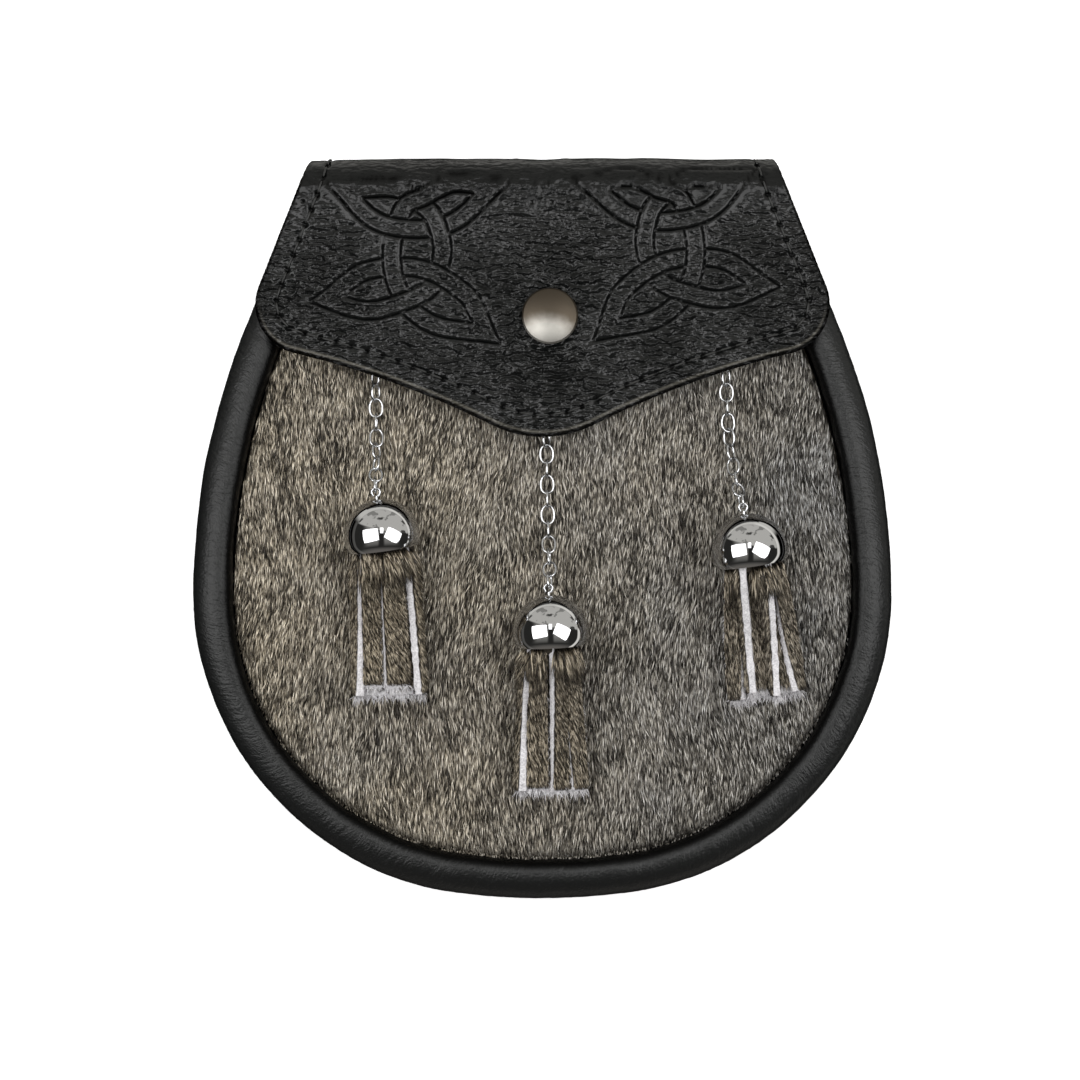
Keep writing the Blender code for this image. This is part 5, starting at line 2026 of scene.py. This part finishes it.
    def strip_hair(self) -> Shape:
        """Hair on the grain side of every strip, combed down the strip with a slant.

        Formula: roots on a jittered lattice over each strip's haired face; the coat rises more and
        grows longer close to the cap, and a hair ends where its slant takes it over the strip's
        edge.
        """
        chance = np.random.default_rng(self.seed)
        parts = []
        for strip in self.strips:
            width = max(strip.width_cap, strip.width_end)
            end = self.reach - strip.short
            bare = self.bare_end if strip.rise_cap < 0 else 0.8
            steps = np.arange(self.strip_start + 2.0, end - bare, self.hair_pitch)
            places = np.arange(-0.5 + self.hair_pitch / width / 2, 0.5, self.hair_pitch / width)
            reach, share = (a.ravel() for a in np.meshgrid(steps, places))
            reach = reach + chance.uniform(-0.5, 0.5, len(reach)) * self.hair_pitch
            share = share + chance.uniform(-0.5, 0.5, len(share)) * self.hair_pitch / width
            share = np.clip(share, -0.49, 0.49)
            middle, wide, across, through, flow = self.strip_places(strip, reach)
            normal = unit(through - flow * np.sum(flow * through, axis=1)[:, None])
            roots = middle + (share * wide)[:, None] * across
            roots += (self.strip_thick / 2 - 0.1) * normal
            near = smooth_step((16.0 - reach) / 10.0)
            turn = self.hair_slant + chance.normal(0.0, 0.16, len(reach))
            rise = 0.26 + 0.12 * near + chance.normal(0.0, 0.08, len(reach))
            along, up = leaning(flow, normal, turn, rise)
            length = chance.uniform(2.8, 4.6, len(reach)) * (1 + 0.35 * near)
            length = np.minimum(length, np.maximum(end + 0.3 - reach, 0.8))
            room = (0.5 - share * np.sign(turn)) * wide
            length = np.minimum(length, room / np.maximum(np.abs(np.sin(turn)), 0.02) + 0.8)
            tone = np.clip(chance.uniform(0, 1, len(reach)), 0.01, 0.99)
            wide_hair = chance.uniform(0.22, 0.36, len(reach))
            parts.append(hairs(roots, along, up, length, wide_hair, 0.07 * length, tone))
        return joined(parts)

    def collar_hair(self) -> Shape:
        """Longer hair that comes out of the cap's mouth all over the strips' beginnings.

        Formula: roots on a ring just inside the lip, upper part only, apart from a gap over a bare
        edge; each hair runs down the tassel and a little outwards.
        """
        chance = np.random.default_rng(self.seed + 50)
        angle = chance.uniform(-0.3 * np.pi, 1.3 * np.pi, 2200)
        radius = self.head_radius * np.sqrt(chance.uniform(0.55, 1.2, len(angle)))
        place = radius * np.cos(angle)
        kept = (place < self.bare_from) | (place > self.bare_to)
        angle, radius, place = angle[kept], radius[kept], place[kept]
        count = len(angle)
        middle, axes = self.frame()
        local = np.stack([place, chance.uniform(-6.0, -3.0, count), radius * np.sin(angle)], 1)
        roots = middle + local @ axes
        out = unit(np.stack([np.cos(angle), 0 * angle, np.sin(angle)], axis=1) @ axes)
        lean = math.radians(self.strip_lean)
        flow = np.tile((math.sin(lean), -math.cos(lean), -0.22), (count, 1)) + 0.2 * out * (1, 0, 0)
        turn = self.hair_slant * 0.4 + chance.normal(0.0, 0.15, count)
        along, up = leaning(flow, out, turn, chance.normal(0.10, 0.07, count))
        length = chance.uniform(4.0, 9.0, count)
        tone = np.clip(chance.uniform(0, 1, count), 0.01, 0.99)
        width = chance.uniform(0.3, 0.45, count)
        return hairs(roots, along, up, length, width, 0.05 * length, tone)

    def fibres(self) -> Shape:
        """Pale fibres out of the cut ends of the strips and, shorter, out of their edges."""
        chance = np.random.default_rng(self.seed + 90)
        parts = []
        count, beside = self.end_fibres, self.side_fibres
        for strip in self.strips:
            reach = np.full(count, self.reach - strip.short - 0.2)
            middle, wide, across, through, flow = self.strip_places(strip, reach)
            share = chance.uniform(-0.5, 0.5, count)
            depth = chance.uniform(-0.5, 0.5, count)
            roots = middle + (share * wide)[:, None] * across
            roots += (depth * self.strip_thick)[:, None] * through
            turn = chance.normal(0.0, 0.75, count)
            along, up = leaning(flow, through, turn, chance.normal(0.0, 0.3, count))
            length = chance.uniform(0.5, 1.0, count) * chance.uniform(1.2, 4.4, count)
            width = chance.uniform(0.14, 0.26, count)
            parts.append(hairs(roots, along, up, length, width, 0.05 * length, share + 0.5))
            end = self.reach - strip.short
            reach = chance.uniform(0.4 * end, end, beside)
            middle, wide, across, through, flow = self.strip_places(strip, reach)
            edge = np.sign(chance.uniform(-1, 1, beside))
            roots = middle + (0.5 * edge * wide)[:, None] * across
            roots += (chance.uniform(-0.5, 0.4, beside) * self.strip_thick)[:, None] * through
            turn = edge * chance.uniform(0.1, 0.8, beside)
            along, up = leaning(flow, through, turn, chance.normal(0.2, 0.3, beside))
            length = chance.uniform(0.6, 1.9, beside)
            width, tone = 0.08 + 0.06 * length, 0.5 + 0 * length
            parts.append(hairs(roots, along, up, length, width, 0.05 * length, tone))
        return joined(parts)

    def build(
        self, hide: bpy.types.Material, hair: bpy.types.Material, metal: bpy.types.Material
    ) -> None:
        """Makes and dresses the tassel.

        Args:
            hide: finish of the strips' cut edges.
            hair: finish of their hair.
            metal: finish of the cap.
        """
        side = self.side.value
        origin, axes = self.frame()
        turned_to(self.cap(), origin, axes).place(
            f"bell_cap_{side}", metal, "cap_chrome", [f"tassel_cap_{side}"], 50
        )
        turned_to(self.eye(), origin, axes).place(
            f"wire_eye_{side}", NICKEL_WIRE.material(), "chain_steel", [f"tassel_eye_{side}"], 60
        )
        shapes = [self.strip_shape(strip, n) for n, strip in enumerate(self.strips)]
        joined([*shapes, self.head()]).place(
            f"tassel_strips_{side}", hide, "tassel_hide", [f"tassel_{side}"], 50
        )
        coat = joined([self.strip_hair(), self.collar_hair()])
        coat.place(f"tassel_hair_{side}", hair, "tassel_hide")
        self.fibres().place(f"tassel_fibres_{side}", hide, "tassel_hide", sharp=40)


@dataclass
class Chain:
    """Chain of oval links, each laid where its CAD link is."""

    side: Side
    count: int
    length: float = 5.6
    width: float = 4.1
    wire_size: float = 0.66
    packed_wire: float = 0.62
    squareness: float = 2.2
    steps: int = 40
    sides: int = 10

    def link(self) -> Shape:
        """Oval link of round wire, its long way along the first axis and flat across the third.

        Formula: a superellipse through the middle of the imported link's wire.
        """
        turn = 2 * np.pi * np.arange(self.steps) / self.steps
        across, up = superellipse(turn, self.squareness)
        long, wide = (self.length - self.packed_wire) / 2, (self.width - self.packed_wire) / 2
        path = np.stack([long * across, wide * up, 0 * turn], axis=1)
        return wire(path, np.array([0.0, 0.0, 1.0]), self.wire_size / 2, self.sides, closed=True)

    def places(self, frame: dict) -> tuple[Array, Array]:
        """Middle and axes of each CAD link.

        Formula: the principal directions of the link's points, from its longest to its thinnest,
        and the middle of its extent along each.


        Returns:
            Middles in millimetres, and three axes (rows) for each link.
        """
        middles, frames = [], []
        for n in range(1, self.count + 1):
            mesh = frame["nodes"][f"chain_{self.side.value}_{n:02d}"].data
            flat = np.empty(len(mesh.vertices) * 3, np.float32)
            mesh.vertices.foreach_get("co", flat)
            points = flat.reshape(-1, 3).astype(float) / MM
            mean = points.mean(axis=0)
            axes = np.linalg.svd(points - mean, full_matrices=False)[2]
            axes[2] = np.cross(axes[0], axes[1])
            spans = (points - mean) @ axes.T
            middles.append(mean + (spans.max(axis=0) + spans.min(axis=0)) / 2 @ axes)
            frames.append(axes)
        return np.array(middles), np.array(frames)

    def build(self, frame: dict, metal: bpy.types.Material) -> None:
        """Makes the chain as one piece, and dresses its staple."""
        nodes = [f"chain_{self.side.value}_{n:02d}" for n in range(1, self.count + 1)]
        links = copies(self.link(), *self.places(frame))
        links.place(f"chain_{self.side.value}", metal, "chain_steel", nodes)
        dress(frame, f"staple_{self.side.value}", metal)


def tassels(form: PouchForm) -> list[Tassel]:
    """The three tassels, with their strips from left to right and two below."""
    left = (
        Strip(-5.8, -7.7, 0.4, 3.4, 3.2, 5.2, 70.0, 82.0, 0.0),
        Strip(-3.0, -3.7, 4.0, 4.6, 4.8, 5.6, 4.0, 4.0, 2.8),
        Strip(1.9, 2.9, 4.0, 4.6, 5.0, 7.4, -14.0, -28.0, 2.6),
        Strip(6.5, 9.0, 0.4, 3.4, 3.4, 5.2, -70.0, -80.0, 0.0),
        Strip(-2.7, -3.4, -3.4, 1.6, 5.0, 6.4, 0.0, 0.0, 0.0),
        Strip(2.7, 3.8, -3.4, 1.6, 5.0, 6.8, 0.0, 0.0, 0.0),
    )
    middle = (
        Strip(-4.9, -9.2, 1.2, 3.4, 3.4, 5.2, 84.0, 80.0, 0.0),
        Strip(-2.9, -4.7, 4.0, 4.6, 4.0, 6.2, 5.0, 5.0, 0.6),
        Strip(1.6, 2.0, 4.2, 4.9, 4.6, 6.4, -48.0, -24.0, 0.0),
        Strip(5.2, 6.4, 1.6, 4.0, 3.4, 4.8, 0.0, -38.0, 0.0),
        Strip(-2.7, -3.8, -3.4, 1.6, 5.0, 6.0, 0.0, 0.0, 0.0),
        Strip(2.7, 3.6, -3.4, 1.6, 5.0, 6.4, 0.0, 0.0, 0.4),
    )
    right = (
        Strip(-5.4, -7.4, 0.4, 3.2, 3.2, 5.0, 0.0, 55.0, 0.0),
        Strip(-2.5, -3.1, 3.6, 4.4, 4.0, 5.0, 96.0, 96.0, 1.5),
        Strip(3.1, 3.2, 3.2, 4.4, 4.0, 5.0, 60.0, 96.0, 0.0),
        Strip(6.0, 8.9, 0.4, 3.4, 3.2, 5.0, -10.0, -78.0, 0.6),
        Strip(-3.4, -5.2, -3.4, 1.8, 4.4, 4.6, 0.0, 0.0, 0.0),
        Strip(0.0, 0.1, -2.4, 2.6, 4.8, 6.0, 0.0, 0.0, 0.8),
        Strip(3.4, 6.0, -3.4, 1.8, 4.4, 4.6, 0.0, 0.0, 0.4),
    )
    return [
        Tassel(form, Side.LEFT, -43.1, -2.3, 8.0, 1.5, 42.8, left, 0.35, seed=21),
        Tassel(form, Side.MIDDLE, 2.2, -28.1, 3.0, 1.5, 42.6, middle, 0.22, -2.4, 0.6, seed=22),
        Tassel(form, Side.RIGHT, 55.7, -6.3, 9.0, 6.5, 39.6, right, 0.1, -4.6, -0.6, seed=23),
    ]


# ---------------------------------------------------------------- studio


@dataclass
class Studio:
    """White light table, two soft boxes with a strip light between them, and the room around.

    One soft box is on either side of the camera, and a pale wall is beyond the top.
    """

    camera_height: float = 1100.0
    aim: tuple[float, float] = (-0.68, -3.26)
    aim_height: float = 25.0
    frame_width: float = 293.5
    floor_half: float = 3000.0
    box_angle: float = math.radians(34.0)
    box_twists: tuple[float, float] = (math.radians(8.0), math.radians(-26.0))
    box_distance: float = 1250.0
    box_size: tuple[float, float] = (1080.0, 800.0)
    strip_way: tuple[float, float] = (-0.02, 0.30)
    strip_size: tuple[float, float] = (200.0, 340.0)
    box_light: float = 3.4
    wall_light: float = 0.68
    glow_light: float = 0.30
    room_light: float = 0.03
    room_hue: str = "#fffdf6"
    floor_hue: str = "#c98f62"
    sensor: float = 36.0

    def floor(self) -> None:
        """Flat pale floor under the pouch; reflections show the room instead of it."""
        reach = self.floor_half * MM
        corners = [(-reach, -reach, 0), (reach, -reach, 0), (reach, reach, 0), (-reach, reach, 0)]
        mesh = bpy.data.meshes.new("floor")
        mesh.from_pydata(corners, [], [(0, 1, 2, 3)])
        mesh.materials.append(LightTable().material())
        floor = bpy.data.objects.new("floor", mesh)
        floor.visible_glossy = False
        bpy.context.scene.collection.objects.link(floor)

    def soft_box(
        self, name: str, way: tuple[float, float], size: tuple[float, float], twist: float
    ) -> None:
        """One soft box, facing the pouch; its power follows from the light that its face gives.

        Args:
            name: name of the lamp.
            way: x and y of the unit direction to the box.
            size: width and height.
            twist: turn about its own axis.
        """
        lamp = bpy.data.lights.new(name, "AREA")
        lamp.shape = "RECTANGLE"
        lamp.size, lamp.size_y = (length * MM for length in size)
        lamp.energy = self.box_light * math.pi * lamp.size * lamp.size_y
        obj = bpy.data.objects.new(name, lamp)
        x, y = way
        up = math.sqrt(1 - x * x - y * y)
        obj.location = (np.array([x, y, up]) * self.box_distance * MM).tolist()
        obj.rotation_mode = "ZYX"
        obj.rotation_euler = (-math.asin(y), math.atan2(x, up), twist)
        bpy.context.scene.collection.objects.link(obj)

    def surroundings(self) -> None:
        """The room as the metal shows it.

        Formula: by direction, a pale wall beyond the top with dark things in front of it, a dark
        ceiling with a soft glow under each box, a warm floor below the bottom, the white table
        close to the horizon on the right and beyond the top, and dark under it.
        """
        world = bpy.data.worlds.new("studio")
        world.use_nodes = True
        tree = world.node_tree
        add = partial(add_node, tree)
        way = add("TexCoord").outputs["Generated"]
        x, y, z = add("SeparateXYZ", {"Vector": way}).outputs
        clutter = add("TexNoise", {"Vector": way, "Scale": 2.6, "Detail": 3.0})
        upwards = add("Math", {0: x, 1: 0.2, 2: y}, operation="MULTIPLY_ADD")
        aside = add("Math", {0: x}, operation="ABSOLUTE")
        keys = ("Value", "From Min", "From Max", "To Min", "To Max")
        ramps = {
            "dark things": (clutter, 0.52, 0.60, 1.0, 0.12),
            "wall": (upwards, 0.28, 0.36, 0.0, 1.0),
            "warm floor": (y, -0.6, -0.9, 0.0, 0.16),
            "off the middle": (aside, 0.08, 0.22, 0.0, 1.0),
            "under a box": (aside, 0.85, 0.60, 0.0, 1.0),
            "table": (z, -0.24, -0.14, 0.0, 1.0),
            "rightwards": (x, -0.5, 0.4, 0.12, 1.0),
            "beyond the top": (y, 0.45, 0.7, 0.0, 0.8),
            "below the horizon": (z, 0.04, -0.02, 0.0, 1.0),
        }
        things, wall, below, off_middle, inside, table, rightwards, beyond, edge = (
            add("MapRange", dict(zip(keys, ramp)), **SOFTLY) for ramp in ramps.values()
        )
        fading = dict(zip(keys, (y, -0.62, -0.15, 0.0, self.glow_light)))
        fading = add("MapRange", fading)
        wall = add("Math", {0: wall, 1: things}, operation="MULTIPLY")
        wall = add("Math", {0: wall, 1: self.wall_light}, operation="MULTIPLY")
        glow = add("Math", {0: off_middle, 1: inside}, operation="MULTIPLY")
        glow = add("Math", {0: glow, 1: fading}, operation="MULTIPLY")
        room = add("Math", {0: glow, 1: self.room_light}, operation="ADD")
        room = add("Math", {0: room, 1: wall}, operation="MAXIMUM")
        table = add("Math", {0: table, 1: rightwards}, operation="MULTIPLY")
        table = add("Math", {0: table, 1: beyond}, operation="MAXIMUM")
        band = add("Math", {0: table, 1: edge}, operation="MULTIPLY")
        light = add("Mix", {"Factor": edge, "A": room, "B": band}, data_type="FLOAT")
        warm = {"Factor": below, "A": linear(self.room_hue), "B": linear(self.floor_hue)}
        colour = add("Mix", warm, data_type="RGBA")
        strength = add("Math", {0: light, 1: below}, operation="ADD")
        feed(tree, tree.nodes["Background"], {"Color": colour, "Strength": strength})
        bpy.context.scene.world = world

    def camera(self) -> None:
        """Camera straight above, framed as the photograph is."""
        data = bpy.data.cameras.new("camera")
        data.sensor_width = self.sensor
        data.lens = self.sensor * self.camera_height / self.frame_width
        data.clip_start, data.clip_end = 0.05, 20.0
        obj = bpy.data.objects.new("camera", data)
        height = self.camera_height + self.aim_height
        obj.location = (self.aim[0] * MM, self.aim[1] * MM, height * MM)
        bpy.context.scene.collection.objects.link(obj)
        bpy.context.scene.camera = obj

    def build(self) -> None:
        """Sets up the studio."""
        self.floor()
        aside = math.sin(self.box_angle)
        self.soft_box("soft_box_left", (-aside, 0.05), self.box_size, self.box_twists[0])
        self.soft_box("soft_box_right", (aside, 0.05), self.box_size, self.box_twists[1])
        self.soft_box("strip_light", self.strip_way, self.strip_size, 0.0)
        self.surroundings()
        self.camera()
        bpy.context.scene.view_settings.view_transform = "Standard"


def corners(bounds: tuple) -> list[list[float]]:
    """Lowest and highest corner as plain lists."""
    return [list(corner) for corner in bounds]


def main() -> None:
    logging.basicConfig(level=logging.INFO, format="%(message)s")
    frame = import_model()
    form = PouchForm()
    flap = Flap(form)
    Body(form).build()
    flap.build()
    FurPanel(form, flap).build()
    PressStud(flap).build(frame)
    hide = CutHide().material()
    browns = {"root": "#221d17", "middle": "#888072", "pale": "#dfd8cb", "tip": "#605a51"}
    hair = BandedHair("banded brown hair", **browns, warm="#fff8ea", cool="#f2efec").material()
    chrome, nickel = CHROME.material(), NICKEL_WIRE.material()
    for tassel in tassels(form):
        tassel.build(hide, hair, chrome)
    for side, count in ((Side.LEFT, 9), (Side.MIDDLE, 11), (Side.RIGHT, 11)):
        Chain(side, count).build(frame, nickel)
    Studio().build()


if __name__ == "__main__":
    main()
